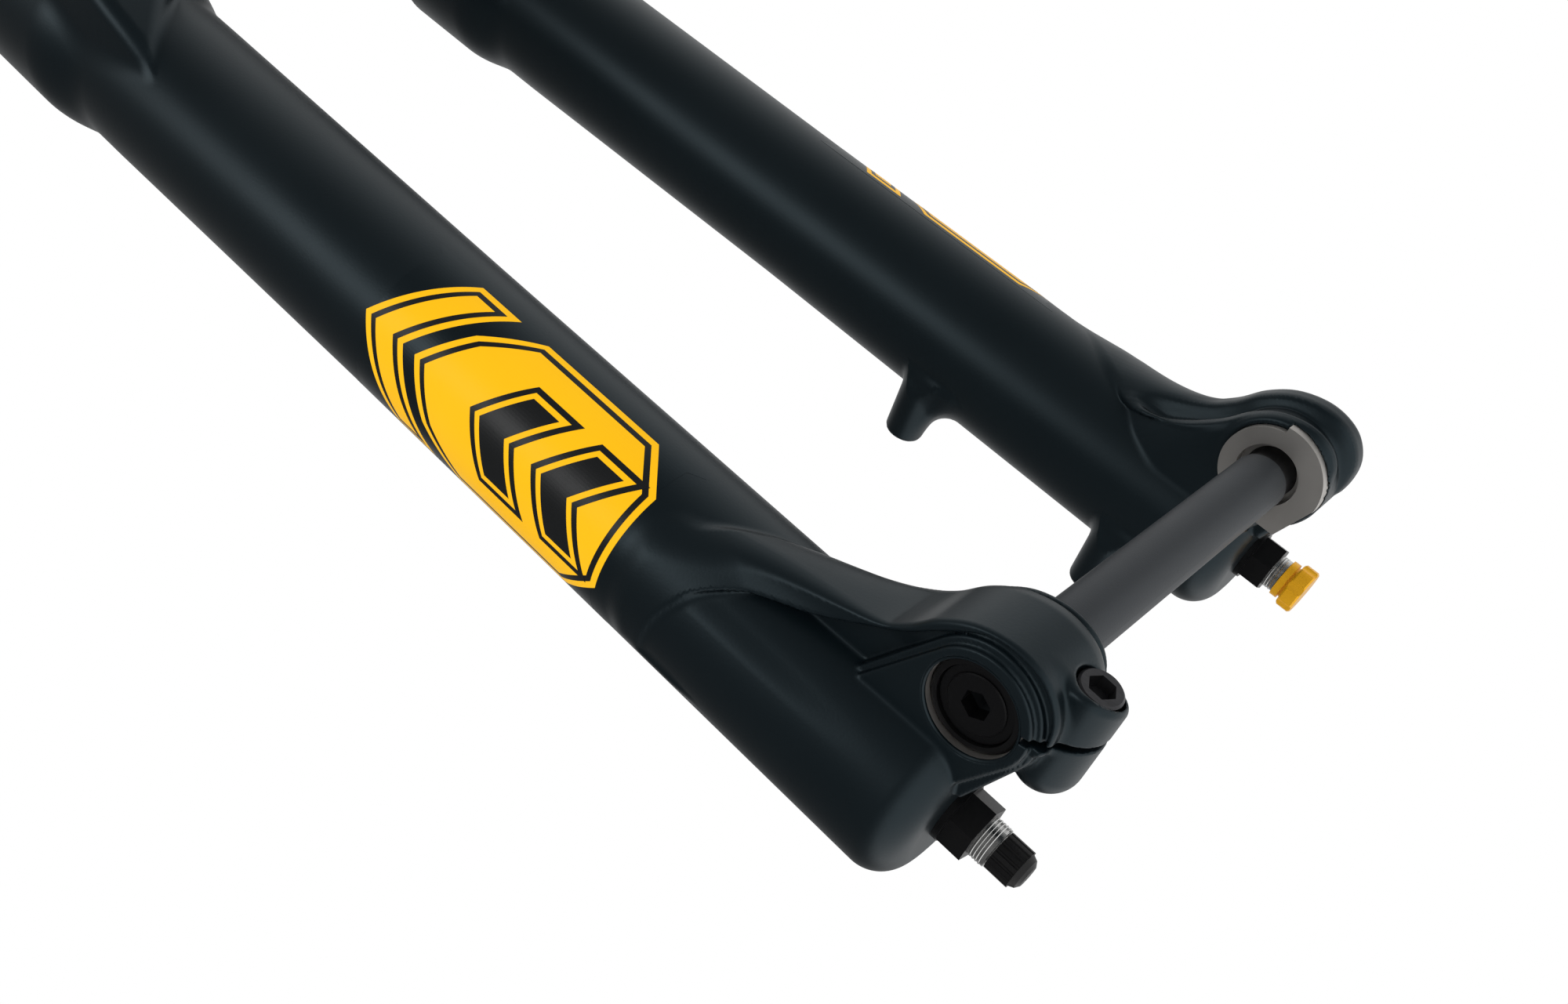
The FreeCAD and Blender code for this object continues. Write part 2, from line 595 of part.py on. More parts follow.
def wiper_seal(side_y):
    """Dust wiper pressed into the leg's top, with its lip against the stanchion."""
    low = SEAL_POCKET_BOTTOM + 12
    outer = SEAL_POCKET_R - CLOSE
    profile = [(STANCHION_R + FIT, low), (outer, low), (outer, LEG_TOP + CLOSE)]
    profile += [(26.0, LEG_TOP + CLOSE), (26.0, LEG_TOP + 3), (22.0, LEG_TOP + 6), (20.6, LEG_TOP + 9.5)]
    profile += [(STANCHION_R + FIT, LEG_TOP + 9.5)]
    return turned(profile, LEG_X, side_y)


def foam_ring(side_y):
    """Oiled foam ring under the wiper."""
    low = SEAL_POCKET_BOTTOM + 2
    return tube(SEAL_POCKET_R - CLOSE, STANCHION_R + 0.3, low, low + 9.9, LEG_X, side_y)


def bushing(low, high, side_y):
    """Split-free low-friction bushing in the leg."""
    return tube(BUSHING_R - CLOSE, STANCHION_R + FIT, low, high, LEG_X, side_y)


def insert_flange():
    """Bare face plate of the threaded insert: a stepped ring with a flat-edged tail against turning."""
    low = DROPOUT_IN
    high = DROPOUT_IN + FLANGE_THICK
    ring = cross_cylinder(FLANGE_R, low, high)
    step = cross_cylinder(FLANGE_STEP_R, low, high)
    step = step.common(side_plate([(-1, 2), (20, 2), (20, -20), (-1, -20)], low, high))
    tail = side_plate([(0, 0), (-13.2, -4), (-13.2, -10.3), (-1, -14.9), (4, -14.0)], low, high)
    return ring.fuse([step, tail])


def axle_thread_insert():
    """Threaded insert with a bare face on the left dropout's inner side."""
    insert = insert_flange().fuse(cross_cylinder(INSERT_R, DROPOUT_IN, LEFT_OUT - 2.5))
    insert = insert.cut(cross_cylinder(INSERT_MOUTH_R, DROPOUT_IN - 1, DROPOUT_IN + 3))
    return insert.cut(cross_cylinder(AXLE_NECK_R + FIT, DROPOUT_IN - 1, LEFT_OUT - 4))


def axle_sleeve():
    """Floating sleeve that the pinch bolt clamps; the axle turns inside it."""
    profile = [(AXLE_R + FIT, -DROPOUT_IN), (SLEEVE_R, -DROPOUT_IN), (SLEEVE_R, -SLEEVE_OUT + 0.6)]
    profile += [(SLEEVE_R - 0.6, -SLEEVE_OUT), (AXLE_HEAD_R + FIT, -SLEEVE_OUT)]
    profile += [(AXLE_HEAD_R + FIT, -AXLE_HEAD_SEAT), (AXLE_R + FIT, -AXLE_HEAD_SEAT)]
    return cross_turned(profile)


def thru_axle():
    """15 mm axle: socket head at the right, threaded neck at the left."""
    relief_r = AXLE_NECK_R - 0.1
    head = [(0, -82.7), (6.7, -82.7), (6.95, -82.45), (6.95, -82.15), (AXLE_HEAD_R - 0.25, -82.15)]
    head += [(AXLE_HEAD_R, -81.9), (AXLE_HEAD_R, -AXLE_HEAD_SEAT - FIT), (AXLE_R, -AXLE_HEAD_SEAT - FIT)]
    body = [(AXLE_R, AXLE_SHOULDER - 0.5), (AXLE_R - 0.5, AXLE_SHOULDER), (relief_r, AXLE_SHOULDER)]
    body += [(relief_r, AXLE_THREAD_START), (AXLE_NECK_R, AXLE_THREAD_START + 0.5)]
    body += [(AXLE_NECK_R, AXLE_END - 1), (AXLE_NECK_R - 0.6, AXLE_END), (0, AXLE_END)]
    axle = cross_turned(head + body)
    socket = hexagon(6.0, 0, 8.0)
    socket.rotate(Vector(0, 0, 0), Vector(1, 0, 0), -90)
    socket.translate(Vector(0, -SLEEVE_OUT, 0))
    axle = axle.cut(socket)
    return axle.cut(cross_cylinder(AXLE_BORE_R, -68.0, AXLE_END + 1))


def pinch_bolt():
    """M6 socket screw through the right dropout's clamp."""
    low = PINCH_HEAD_AT + FIT
    high = low + 5.3
    screw = cylinder(PINCH_HEAD_R, low, high)
    screw = screw.makeChamfer(0.5, [e for e in screw.Edges if e.BoundBox.ZMin > high - 0.1])
    screw = screw.fuse(cylinder(PINCH_HOLE_R - FIT, -10.0, low + 0.2))
    screw = screw.cut(hexagon(5.6, high - 3.2, high + 1))
    screw.rotate(Vector(0, 0, 0), Vector(0, 1, 0), 90 + PINCH_TILT)
    screw.translate(Vector(0, PINCH_Y, PINCH_Z))
    return screw


def build_all():
    """Makes every node and writes it."""
    os.makedirs("parts", exist_ok=True)
    nodes = {
        "steerer_tube": steerer_tube(),
        "fork_crown": fork_crown(),
        "air_top_cap": air_top_cap(),
        "main_valve_core": valve_core(AXLE_TO_CROWN + 3, AXLE_TO_CROWN + 18.5, RIGHT_Y),
        "main_valve_pin": valve_pin(AXLE_TO_CROWN + 5, AXLE_TO_CROWN + 18.3, RIGHT_Y),
        "main_valve_cover": main_valve_cover(),
        "damper_top_cap": damper_top_cap(),
        "high_speed_knob": high_speed_knob(),
        "low_speed_knob": low_speed_knob(),
        "compression_needle": compression_needle(),
        "damper_tube": damper_tube(),
        "damper_seal_head": damper_seal_head(),
        "compression_valve": compression_valve(),
        "expansion_bladder": expansion_bladder(),
        "damper_shaft": damper_shaft(),
        "damper_piston": damper_piston(),
        "piston_shims": piston_shims(),
        "piston_nut": piston_nut(),
        "rebound_rod": rebound_rod(),
        "rebound_knob": rebound_knob(),
        "air_seal_head": air_seal_head(),
        "air_shaft": air_shaft(),
        "air_piston": air_piston(),
        "air_piston_seal": air_piston_seal(),
        "air_top_out_bumper": bumper(SEAL_HEAD_TOP + 0.3, AIR_PISTON_BOTTOM - 0.1, 9.5, RIGHT_Y),
        "damper_top_out_bumper": bumper(DAMPER_HEAD_TOP + 0.3, PISTON_BOTTOM - 3.6, 9.0, LEFT_Y),
        "ramp_valve_core": valve_core(FOOT_VALVE_END + 0.3, NUT_BOTTOM + 2, RIGHT_Y),
        "ramp_valve_pin": valve_pin(FOOT_VALVE_END + 0.4, NUT_BOTTOM + 1, RIGHT_Y),
        "ramp_valve_cap": ramp_valve_cap(),
        "lower_legs_casting": lower_legs_casting(),
        "axle_thread_insert": axle_thread_insert(),
        "axle_sleeve": axle_sleeve(),
        "thru_axle": thru_axle(),
        "pinch_bolt": pinch_bolt(),
    }
    for side, side_y in LEG_CENTRES.items():
        nodes["stanchion_" + side] = stanchion(side_y)
        nodes["wiper_seal_" + side] = wiper_seal(side_y)
        nodes["foam_ring_" + side] = foam_ring(side_y)
        nodes["upper_bushing_" + side] = bushing(306.0, 328.0, side_y)
        nodes["lower_bushing_" + side] = bushing(206.0, 226.0, side_y)
        nodes["foot_nut_" + side] = foot_nut(side_y)
        nodes["bottom_out_bumper_" + side] = bumper(LEG_FLOOR, BUMPER_TOP, 13.0, side_y)
    for name, shape in nodes.items():
        export(shape, name)


build_all()
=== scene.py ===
"""Looks for the suspension fork.

The cast lowers are one sculpted surface. Then come decals, threads, materials, camera and light.
"""

import math

import bpy
import numpy as np
from mathutils import Matrix, Vector


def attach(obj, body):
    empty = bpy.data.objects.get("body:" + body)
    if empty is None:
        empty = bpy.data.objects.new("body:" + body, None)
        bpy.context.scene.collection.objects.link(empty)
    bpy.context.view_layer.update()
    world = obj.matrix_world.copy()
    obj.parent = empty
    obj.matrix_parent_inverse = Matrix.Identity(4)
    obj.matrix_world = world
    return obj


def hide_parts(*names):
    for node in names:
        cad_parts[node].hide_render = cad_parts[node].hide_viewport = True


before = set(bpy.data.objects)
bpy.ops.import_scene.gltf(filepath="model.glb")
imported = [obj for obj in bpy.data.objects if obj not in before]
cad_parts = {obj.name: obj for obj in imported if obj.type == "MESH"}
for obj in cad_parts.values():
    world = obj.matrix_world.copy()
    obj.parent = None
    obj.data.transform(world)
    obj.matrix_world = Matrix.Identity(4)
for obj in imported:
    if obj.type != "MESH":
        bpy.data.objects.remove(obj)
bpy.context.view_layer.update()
MM = 0.001

# Sizes that follow the CAD, in millimetres; w is the distance outwards from the fork's middle
LEG_X = -34.3
LEG_Y = 75.0
LEG_R = 22.9
LEG_BOTTOM = -6.0
LEG_FLOOR = 8.0
LEG_TOP = 350.0
LEG_FILLET = 9.0
SWELL_START = 168.0
SWELL_LENGTH = 120.0
SWELL_ALL_ROUND = 0.5
SWELL_REAR = 1.3
FLARE_R = 27.5
FLARE_FULL = 312.0
CAVITY_R = 19.9
BUSHING_R = 20.4
BUSHING_BOTTOM = 205.0
SEAL_R = 24.4
SEAL_BOTTOM = 330.0
FOOT_HOLE_R = 5.45

# Dropouts: the right one clamps the axle sleeve, the left one holds the threaded insert
RIGHT_IN = 58.0
RIGHT_FACE = 84.0
LEFT_IN = 57.0
LEFT_FACE = 75.0
POCKET_FLOOR = 81.0
PLATES_IN = 62.0
SLEEVE_BORE_R = 10.9
LINER_R = 11.3
RIGHT_TUBE_R = 15.0
LEFT_TUBE_R = 15.4
INSERT_R = 9.52
INSERT_END = 73.9
FLANGE_SEAT = 58.9
FLANGE_R = 13.3
FLANGE_CORNER_R = 15.1
BOLT_Y = 73.0
BOLT_Z = -15.9
BOLT_TILT = math.radians(2.0)
BOLT_HOLE_R = 3.05
BOLT_HOLE_END = -11.0
CLAMP_R = 7.6
SPOTFACE_R = 5.6
SPOTFACE_X = 11.05
SLOT_TILT = math.radians(14.0)
SLOT_HALF = 0.8

# Brake mounts on the left leg
POST_Y = 57.0
POST_HIGH = 99.0
POST_SPACING = 74.2
POSTS = (POST_HIGH, POST_HIGH - POST_SPACING)
POST_R = 5.9
POST_FACE_X = -65.0
POST_HOLE_R = 2.6
POST_HOLE_END = -52.0

# Where each part of the casting is worked out, and the distance that stands for "far from any surface"
LEG_ZONE_IN = 44.0
FOOT_ZONE_TOP = 96.0
MOUNT_ZONE_TOP = 130.0
MOUNT_ZONE_FRONT = -36.0
ARCH_ZONE_BOTTOM = 255.0
ARCH_ZONE_REAR = -34.0
FAR_OFF = 12.0


# ---------------------------------------------------------------- signed distance helpers, in millimetres


def smin(a, b, k):
    """Union with a soft fillet about k wide."""
    h = np.maximum(k - np.abs(a - b), 0.0) / k
    return np.minimum(a, b) - h * h * k * 0.25


def smax(a, b, k):
    """Intersection with a soft edge about k wide."""
    return -smin(-a, -b, k)


def rmax(a, b, r):
    """Intersection whose edge is a true round of radius r."""
    return np.minimum(np.maximum(a, b), -r) + np.hypot(np.maximum(a + r, 0.0), np.maximum(b + r, 0.0))


def rmin(a, b, r):
    """Union whose inner corner is a true fillet of radius r."""
    return -rmax(-a, -b, r)


def bezier_chain(points, steps=6):
    """A smooth open curve through the points."""
    p = np.array(points, float)
    p = np.vstack([2 * p[0] - p[1], p, 2 * p[-1] - p[-2]])
    out = []
    for i in range(1, len(p) - 2):
        a, b, c, d = p[i - 1], p[i], p[i + 1], p[i + 2]
        for t in np.linspace(0.0, 1.0, steps, endpoint=False):
            out.append(0.5 * (2 * b + (c - a) * t + (2 * a - 5 * b + 4 * c - d) * t * t
                              + (3 * b - a - 3 * c + d) * t ** 3))
    out.append(p[-2])
    return [tuple(q) for q in out]


def arc(cx, cz, r, start, end, steps=24):
    """Points on a circle between two angles in degrees."""
    angles = np.radians(np.linspace(start, end, steps))
    return [(cx + r * math.cos(a), cz + r * math.sin(a)) for a in angles]


def disc_hull(cx, cz, r, top, bottom):
    """Outline of a disc joined to two points on its left."""
    out = []
    for (px, pz), side in ((bottom, -1), (top, 1)):
        reach = math.hypot(px - cx, pz - cz)
        base = math.atan2(pz - cz, px - cx)
        out.append(math.degrees(base - side * math.acos(r / reach)))
    first, last = out
    while last < first:
        last += 360.0
    return [bottom] + arc(cx, cz, r, first, last, 60) + [top]


class Flat:
    """Signed distance to a closed outline, kept on a grid and read back with a smooth cubic spline."""

    def __init__(self, outline, step=0.5, margin=14.0):
        p = np.array(outline, float)
        self.low = p.min(axis=0) - margin
        size = np.ceil((p.max(axis=0) + margin - self.low) / step).astype(int) + 1
        self.step = step
        self.size = size
        columns = self.low[0] + step * np.arange(size[0])
        rows = self.low[1] + step * np.arange(size[1])
        u, v = np.meshgrid(columns, rows, indexing="ij")
        best = np.full(u.shape, 1e9)
        inside = np.zeros(u.shape, bool)
        q = np.roll(p, -1, axis=0)
        for (ax, az), (bx, bz) in zip(p, q):
            dx, dz = bx - ax, bz - az
            length = dx * dx + dz * dz
            if length < 1e-12:
                continue
            t = np.clip(((u - ax) * dx + (v - az) * dz) / length, 0.0, 1.0)
            best = np.minimum(best, (u - ax - t * dx) ** 2 + (v - az - t * dz) ** 2)
            if abs(dz) > 1e-9:
                crosses = ((az > v) != (bz > v)) & (u < dx * (v - az) / dz + ax)
                inside ^= crosses
        self.values = np.where(inside, -1.0, 1.0) * np.sqrt(best)

    def __call__(self, u, v):
        gu = np.clip((u - self.low[0]) / self.step, 1.0, self.size[0] - 2.001)
        gv = np.clip((v - self.low[1]) / self.step, 1.0, self.size[1] - 2.001)
        iu = gu.astype(np.int32)
        iv = gv.astype(np.int32)
        wu = _weights(gu - iu)
        wv = _weights(gv - iv)
        flat = self.values.ravel()
        base = (iu - 1) * self.size[1] + iv - 1
        total = 0.0
        for a in range(4):
            row = 0.0
            for b in range(4):
                row = row + wv[b] * flat[np.clip(base + a * self.size[1] + b, 0, flat.size - 1)]
            total = total + wu[a] * row
        return total


def _weights(f):
    """Shares of the four neighbours in a uniform cubic spline."""
    g = 1.0 - f
    before = (3 * f ** 3 - 6 * f * f + 4) / 6.0
    after = (3 * g ** 3 - 6 * g * g + 4) / 6.0
    return (g ** 3 / 6.0, before, after, f ** 3 / 6.0)


# ---------------------------------------------------------------- the casting


# Outline of the dropout's flange, seen from the side
BODY_LINE = bezier_chain([(-46, 52), (-36, 55.5), (-26, 56.8), (-19, 56.4), (-15.4, 53.0), (-12.1, 46.1),
                          (-7.4, 36.7), (-1.9, 28.1), (4.8, 20.4), (11.4, 15.1), (16.4, 8.6), (18.9, 0.8),
                          (18.6, -6.1), (15.8, -12.0), (10.0, -16.0), (2.0, -16.4), (-6.0, -13.4),
                          (-14.0, -9.2), (-24.0, -4.4), (-34.0, 2.0), (-46, 6.0)])
BODY = Flat(BODY_LINE)
# Outline of the outer pocket, inside the flange's raised rim
RIM_LINE = bezier_chain([(-44, 69.5), (-33, 68.6), (-25, 66.0), (-18.6, 61.0), (-14.1, 53.0), (-9.6, 40.0),
                         (-5.8, 32.4), (-2.1, 26.6), (3.1, 19.6), (8.6, 14.2), (13.2, 9.3), (16.3, 5.0),
                         (17.7, -0.7), (17.2, -6.2), (14.9, -10.6), (10.6, -14.1), (5.7, -15.6)])
RIM = Flat(RIM_LINE + [(-6.0, -12.0), (-24.0, -6.0), (-44.0, 0.0)])
# Two raised plates round the axle, joined to the leg
STEP = Flat(disc_hull(1.0, -0.3, 14.9, (-22.0, 30.4), (-22.0, -7.4)))
PLATE = Flat(disc_hull(0.6, -0.3, 13.4, (-22.0, 28.8), (-22.0, -3.4)))
# Outline of the recess on the wheel side
INNER_LINE = bezier_chain([(-46, 62), (-30, 60), (-18, 53), (-15.0, 47.0), (-12.2, 40.0), (-9.0, 33.2),
                           (-5.8, 26.9), (-2.4, 21.6), (4.1, 15.8), (9.6, 12.0)])
INNER_RIM = Flat(INNER_LINE + [(9.6, -20.0), (-46.0, -20.0)])
# The arch, from the front and from the side
ARCH_UPPER = bezier_chain([(20.0, 413.0), (42.0, 409.5), (62.0, 401.0), (78.0, 388.0), (90.0, 370.0),
                           (97.0, 347.0), (97.0, 320.0), (95.5, 296.0), (92.0, 273.0)])
ARCH_LOWER = bezier_chain([(84.0, 283.0), (72.0, 299.0), (62.0, 309.0), (54.0, 325.0), (50.5, 345.0),
                           (47.0, 360.0), (38.0, 376.0), (25.0, 384.0), (12.0, 387.0)])
ARCH_MIDDLE = [(0.0, 387.0), (-10.0, 387.0), (-10.0, 413.0)]
ARCH_FRONT = Flat([(0.0, 413.0)] + ARCH_UPPER + ARCH_LOWER + ARCH_MIDDLE, step=0.8, margin=20.0)
ARCH_NOSE = bezier_chain([(-31.0, 264.0), (-20.0, 270.0), (-12.0, 282.0), (-4.0, 301.0), (5.0, 322.0),
                          (11.0, 342.0), (12.6, 362.0), (12.0, 385.0), (9.0, 414.0)])
ARCH_REAR = [(-7.5, 414.0), (-7.5, 350.0), (-7.8, 345.0), (-31.0, 345.0)]
ARCH_SIDE = Flat(ARCH_NOSE + ARCH_REAR, step=0.8, margin=20.0)
# Clearance under the insert's flange, down to the flange's tail
TAIL = Flat([(0, 0), (-13.2, -4), (-13.2, -10.3), (-1, -14.9), (4, -14.0)], step=0.3, margin=8.0)


def leg_growth(rear, z):
    """How far a leg's wall stands out as it goes up, most where rear is 1."""
    return np.clip((z - SWELL_START) / SWELL_LENGTH, 0.0, 1.0) * (SWELL_ALL_ROUND + SWELL_REAR * rear * rear)


def leg_outside(x, w, z):
    """Outside of one leg, flared at the top round its seal."""
    dx = x - LEG_X
    rho = np.hypot(dx, w - LEG_Y)
    rear = np.clip(-dx / np.maximum(rho, 1.0), 0.0, 1.0)
    wall = rho - LEG_R - leg_growth(rear, z)
    leg = rmax(wall, LEG_BOTTOM - z, LEG_FILLET)
    cone = (rho - FLARE_R + (FLARE_FULL - z) * 0.75) * 0.8
    flare = rmax(smax(rho - FLARE_R, cone, 5.0), z - LEG_TOP, 1.2)
    leg = np.maximum(leg, z - LEG_TOP)
    return smin(leg, flare, 5.0)


def leg_inside(x, w, z):
    """Oil space, bushing seats, seal pocket and foot hole of one leg."""
    rho = np.hypot(x - LEG_X, w - LEG_Y)
    cavity = np.maximum(rho - CAVITY_R, LEG_FLOOR - z)
    cavity = np.minimum(cavity, np.maximum(rho - BUSHING_R, BUSHING_BOTTOM - z))
    cavity = np.minimum(cavity, np.maximum(rho - SEAL_R, SEAL_BOTTOM - z))
    return np.minimum(cavity, rho - FOOT_HOLE_R)


def ease(value, start, end):
    """0 before start, 1 after end and smooth between."""
    t = np.clip((value - start) / (end - start), 0.0, 1.0)
    return t * t * (3.0 - 2.0 * t)


def blended(value, places, amounts, width):
    """Straight-line table read with its corners rounded over a width."""
    shares = ((-width, 0.25), (0.0, 0.5), (width, 0.25))
    return sum(np.interp(value + shift, places, amounts) * share for shift, share in shares)


def neck_climb(x, w):
    """How far the neck's section climbs as it goes outwards."""
    places = (61.0, 64.0, 66.0, 69.4, 72.5, 76.0, 81.0, 86.0, 96.0)
    heights = (0.0, 1.0, 4.0, 10.5, 15.5, 20.0, 24.3, 25.0, 24.6)
    return blended(w, places, heights, 1.5) * ease(x, 2.0, -11.0)


def inner_side(z):
    """Inner side of the neck, which leans outwards where it runs up on the leg."""
    heights = (28.0, 32.6, 39.8, 46.8, 57.5, 72.0)
    leans = (0.0, 0.8, 3.3, 7.3, 15.0, 27.0)
    return blended(z, heights, leans, 2.0)


def swan_neck(x, w, z, inner, face, edge, setback, rim):
    """Flange that sweeps from the leg down round the axle boss, with the outer pocket and raised plates.

    It runs from inner to face, its outer edge is rounded by edge, the pocket's front is setback inside its
    outline, and rim is how far the flange's outline is drawn in.
    """
    profile = BODY(x, z - neck_climb(x, w)) + rim
    round_leg = np.hypot(x + 35.3, w - 69.4) - 28.6
    outside = smin(w - face, round_leg, 9.0)
    round_over = edge + 5.0 * ease(x, 3.0, -11.0)
    body = rmax(rmax(profile, outside, round_over), (inner + inner_side(z) - w) * 0.85, 1.6)
    front = setback * ease(x, -8.0, 2.0)
    floor = POCKET_FLOOR - (RIGHT_FACE - face) * ease(x, -12.0, 0.0) + 1.4 * ease(x, -3.0, 6.0)
    pocket = np.maximum(RIM(x, z) + front, floor - w)
    body = smax(body, -pocket, 1.1)
    step = rmax(rmax(STEP(x, z) + 0.4 * front, w - face + 0.3, 0.7), PLATES_IN - w, 2.0)
    plate = rmax(rmax(PLATE(x, z), w - face - 1.0, 0.6), PLATES_IN - w, 2.0)
    return smin(smin(body, step, 0.7), plate, 0.7)


def inner_pocket(x, w, z):
    """Three-cornered recess on the wheel side between the neck's rim, the leg and the lower web."""
    places = (0.0, 13.3, 18.9, 27.1, 32.6, 38.3, 50.4, 62.0)
    floors = (52.5, 55.8, 57.3, 59.6, 62.7, 65.8, 72.0, 79.0)
    floor = blended(z + 0.61 * x, places, floors, 2.0)
    return smax(INNER_RIM(x, z), (w - floor) * 0.85, 1.0)


def sunken_side(x, w, z):
    """Depth of the shallow scoop in the right leg's side below the pocket's rim."""
    around = ease(x, -24.0, -19.0) * ease(w, 72.0, 78.0)
    return 0.9 * ease(-RIM(x, z), -0.4, 0.6) * around * ease(z, 8.0, 44.0)


def near_dropout(x, w, z):
    """Right dropout: open boss that clamps the axle sleeve."""
    places = (57.5, 59.0, 60.5, 61.2, 62.3, 63.6, 65.0, 67.0)
    insets = (6.0, 3.8, 2.4, 2.3, 3.4, 1.1, 0.5, 0.0)
    rim = blended(w, places, insets, 0.5)
    body = swan_neck(x, w, z, RIGHT_IN, RIGHT_FACE, 1.3, 0.0, rim)
    body = smax(body, -inner_pocket(x, w, z), 1.5 + 3.0 * ease(z, 40.0, 52.0))
    tube = np.maximum(rmax(np.hypot(x, z) - RIGHT_TUBE_R, RIGHT_IN - w, 2.5), w - 80.0)
    body = smin(body, tube, 1.5)
    back = np.minimum(x + 6.0, 0.0)
    barrel = np.sqrt(back ** 2 + (w - BOLT_Y) ** 2 + (z - BOLT_Z - 0.3) ** 2) - CLAMP_R
    nose = (x - 15.6 - 0.30 * (w - BOLT_Y) - 0.08 * (BOLT_Z - z)) * 0.95
    barrel = rmax(barrel, nose, 2.2)
    cheek = rmax(np.maximum(np.abs(w - 72.5) - 6.0, np.abs(z + 11.0) - 5.5), nose, 2.2)
    cheek = np.maximum(cheek, -4.0 - x)
    return smin(smin(body, cheek, 3.0), barrel, 1.2)


def near_cuts(x, w, z):
    """Bore, clamp slot, bolt hole and spotface of the right dropout."""
    rho = np.hypot(x, z)
    bore = rho - LINER_R
    across = x * math.cos(SLOT_TILT) + z * math.sin(SLOT_TILT)
    slot = np.maximum(np.abs(across) - SLOT_HALF, z)
    along = x * math.cos(BOLT_TILT) - (z - BOLT_Z) * math.sin(BOLT_TILT)
    off = np.hypot(w - BOLT_Y, (z - BOLT_Z) * math.cos(BOLT_TILT) + x * math.sin(BOLT_TILT))
    hole = np.maximum(off - BOLT_HOLE_R, BOLT_HOLE_END - along)
    face = np.maximum(off - SPOTFACE_R, SPOTFACE_X - along)
    return np.minimum(np.minimum(bore, slot), np.minimum(hole, face))


def far_dropout(x, w, z):
    """Left dropout: closed boss that holds the threaded insert."""
    places = (57.0, 58.2, 60.6, 62.4, 64.4, 66.2, 68.0)
    insets = (4.6, 3.1, 2.4, 4.6, 4.6, 0.6, 0.0)
    rim = blended(w, places, insets, 0.6) * ease(z, 44.0, 30.0)
    body = swan_neck(x, w, z, LEFT_IN, LEFT_FACE, 4.5, 8.0, rim)
    body = smax(body, -inner_pocket(x, w, z), 1.5 + 3.0 * ease(z, 40.0, 52.0))
    tube = np.maximum(rmax(np.hypot(x, z) - LEFT_TUBE_R, LEFT_IN - w, 1.2), w - 72.0)
    return smin(body, tube, 1.0)


def far_cuts(x, w, z):
    """Insert bore and flange seat of the left dropout."""
    rho = np.hypot(x, z)
    bore = np.maximum(rho - INSERT_R, w - INSERT_END)
    seat = np.maximum(rho - FLANGE_R, w - FLANGE_SEAT)
    corner = np.maximum(np.maximum(rho - FLANGE_CORNER_R, w - FLANGE_SEAT), np.maximum(-1.0 - x, z - 2.0))
    tail = np.maximum(np.maximum(TAIL(x, z), w - FLANGE_SEAT), 50.0 - w)
    return np.minimum(np.minimum(bore, seat), np.minimum(corner, tail))


def post_mounts(shape, x, w, z):
    """The leg with two brake bosses on its rear, each on its rib."""
    back = x - POST_FACE_X
    for height in POSTS:
        dz = z - height
        boss = rmax(np.hypot(w - POST_Y, dz) - POST_R - 0.03 * back, -back, 1.2)
        rib = rmax(np.abs(w - POST_Y - 1.5) - 4.5, dz - 4.0 - 0.08 * back, 2.0)
        rib = rmax(rib, -dz - 3.5 - 0.35 * back, 2.0)
        rib = rmax(rib, -back + 0.4, 1.5)
        # The inner flank turns into the leg before the mount ends, and its fillet fades out there too
        flank = 50.6 + 3.0 * ease(x, -50.0, -37.0) - w
        mount = np.maximum(smin(boss, rib, 2.5), np.maximum(flank, x - MOUNT_ZONE_FRONT))
        fillet = 2.2 + 3.5 * ease(dz, 4.0, -6.0)
        shape = rmin(shape, mount, 0.05 + fillet * ease(x, -37.0, -43.0))
    return shape


def post_holes(x, w, z):
    """Threaded holes of the brake bosses."""
    upper, lower = (np.hypot(w - POST_Y, z - height) - POST_HOLE_R for height in POSTS)
    return np.maximum(np.minimum(upper, lower), x - POST_HOLE_END)


def arch(x, w, z):
    """Brace over the wheel, running out on both leg fronts, with a shallow scoop in its rear face."""
    front = ARCH_FRONT(w, z)
    side = ARCH_SIDE(x, z)
    body = rmax(front, side, 4.5)
    scoop = np.maximum(front + 5.5, np.abs(x + 7.5) - 5.0)
    scoop = np.maximum(scoop, 352.0 - z)
    return smax(body, -scoop, 2.0)


def casting(x, y, z):
    """Signed distance to the whole casting at flat arrays of points."""
    w = np.abs(y)
    shape = np.full(x.shape, FAR_OFF)
    leg = w > LEG_ZONE_IN
    shape[leg] = leg_outside(x[leg], w[leg], z[leg])
    foot = leg & (z < FOOT_ZONE_TOP)
    sides = ((foot & (y < 0), near_dropout, near_cuts), (foot & (y > 0), far_dropout, far_cuts))
    for chosen, body, cuts in sides:
        if chosen.any():
            px, pw, pz = x[chosen], w[chosen], z[chosen]
            if body is near_dropout:
                shape[chosen] += sunken_side(px, pw, pz)
            grown = smin(shape[chosen], body(px, pw, pz), 0.9 + 2.5 * ease(pz, 46.0, 60.0))
            shape[chosen] = smax(grown, -cuts(px, pw, pz), 0.5)
    mounts = leg & (y > 0) & (z < MOUNT_ZONE_TOP) & (x < MOUNT_ZONE_FRONT)
    if mounts.any():
        px, pw, pz = x[mounts], w[mounts], z[mounts]
        grown = post_mounts(shape[mounts], px, pw, pz)
        shape[mounts] = smax(grown, -post_holes(px, pw, pz), 0.5)
    brace = (z > ARCH_ZONE_BOTTOM) & (x > ARCH_ZONE_REAR)
    if brace.any():
        px, pw, pz = x[brace], w[brace], z[brace]
        shape[brace] = smin(shape[brace], arch(px, pw, pz), 2.0)
    shape[leg] = smax(shape[leg], -leg_inside(x[leg], w[leg], z[leg]), 0.4)
    return shape


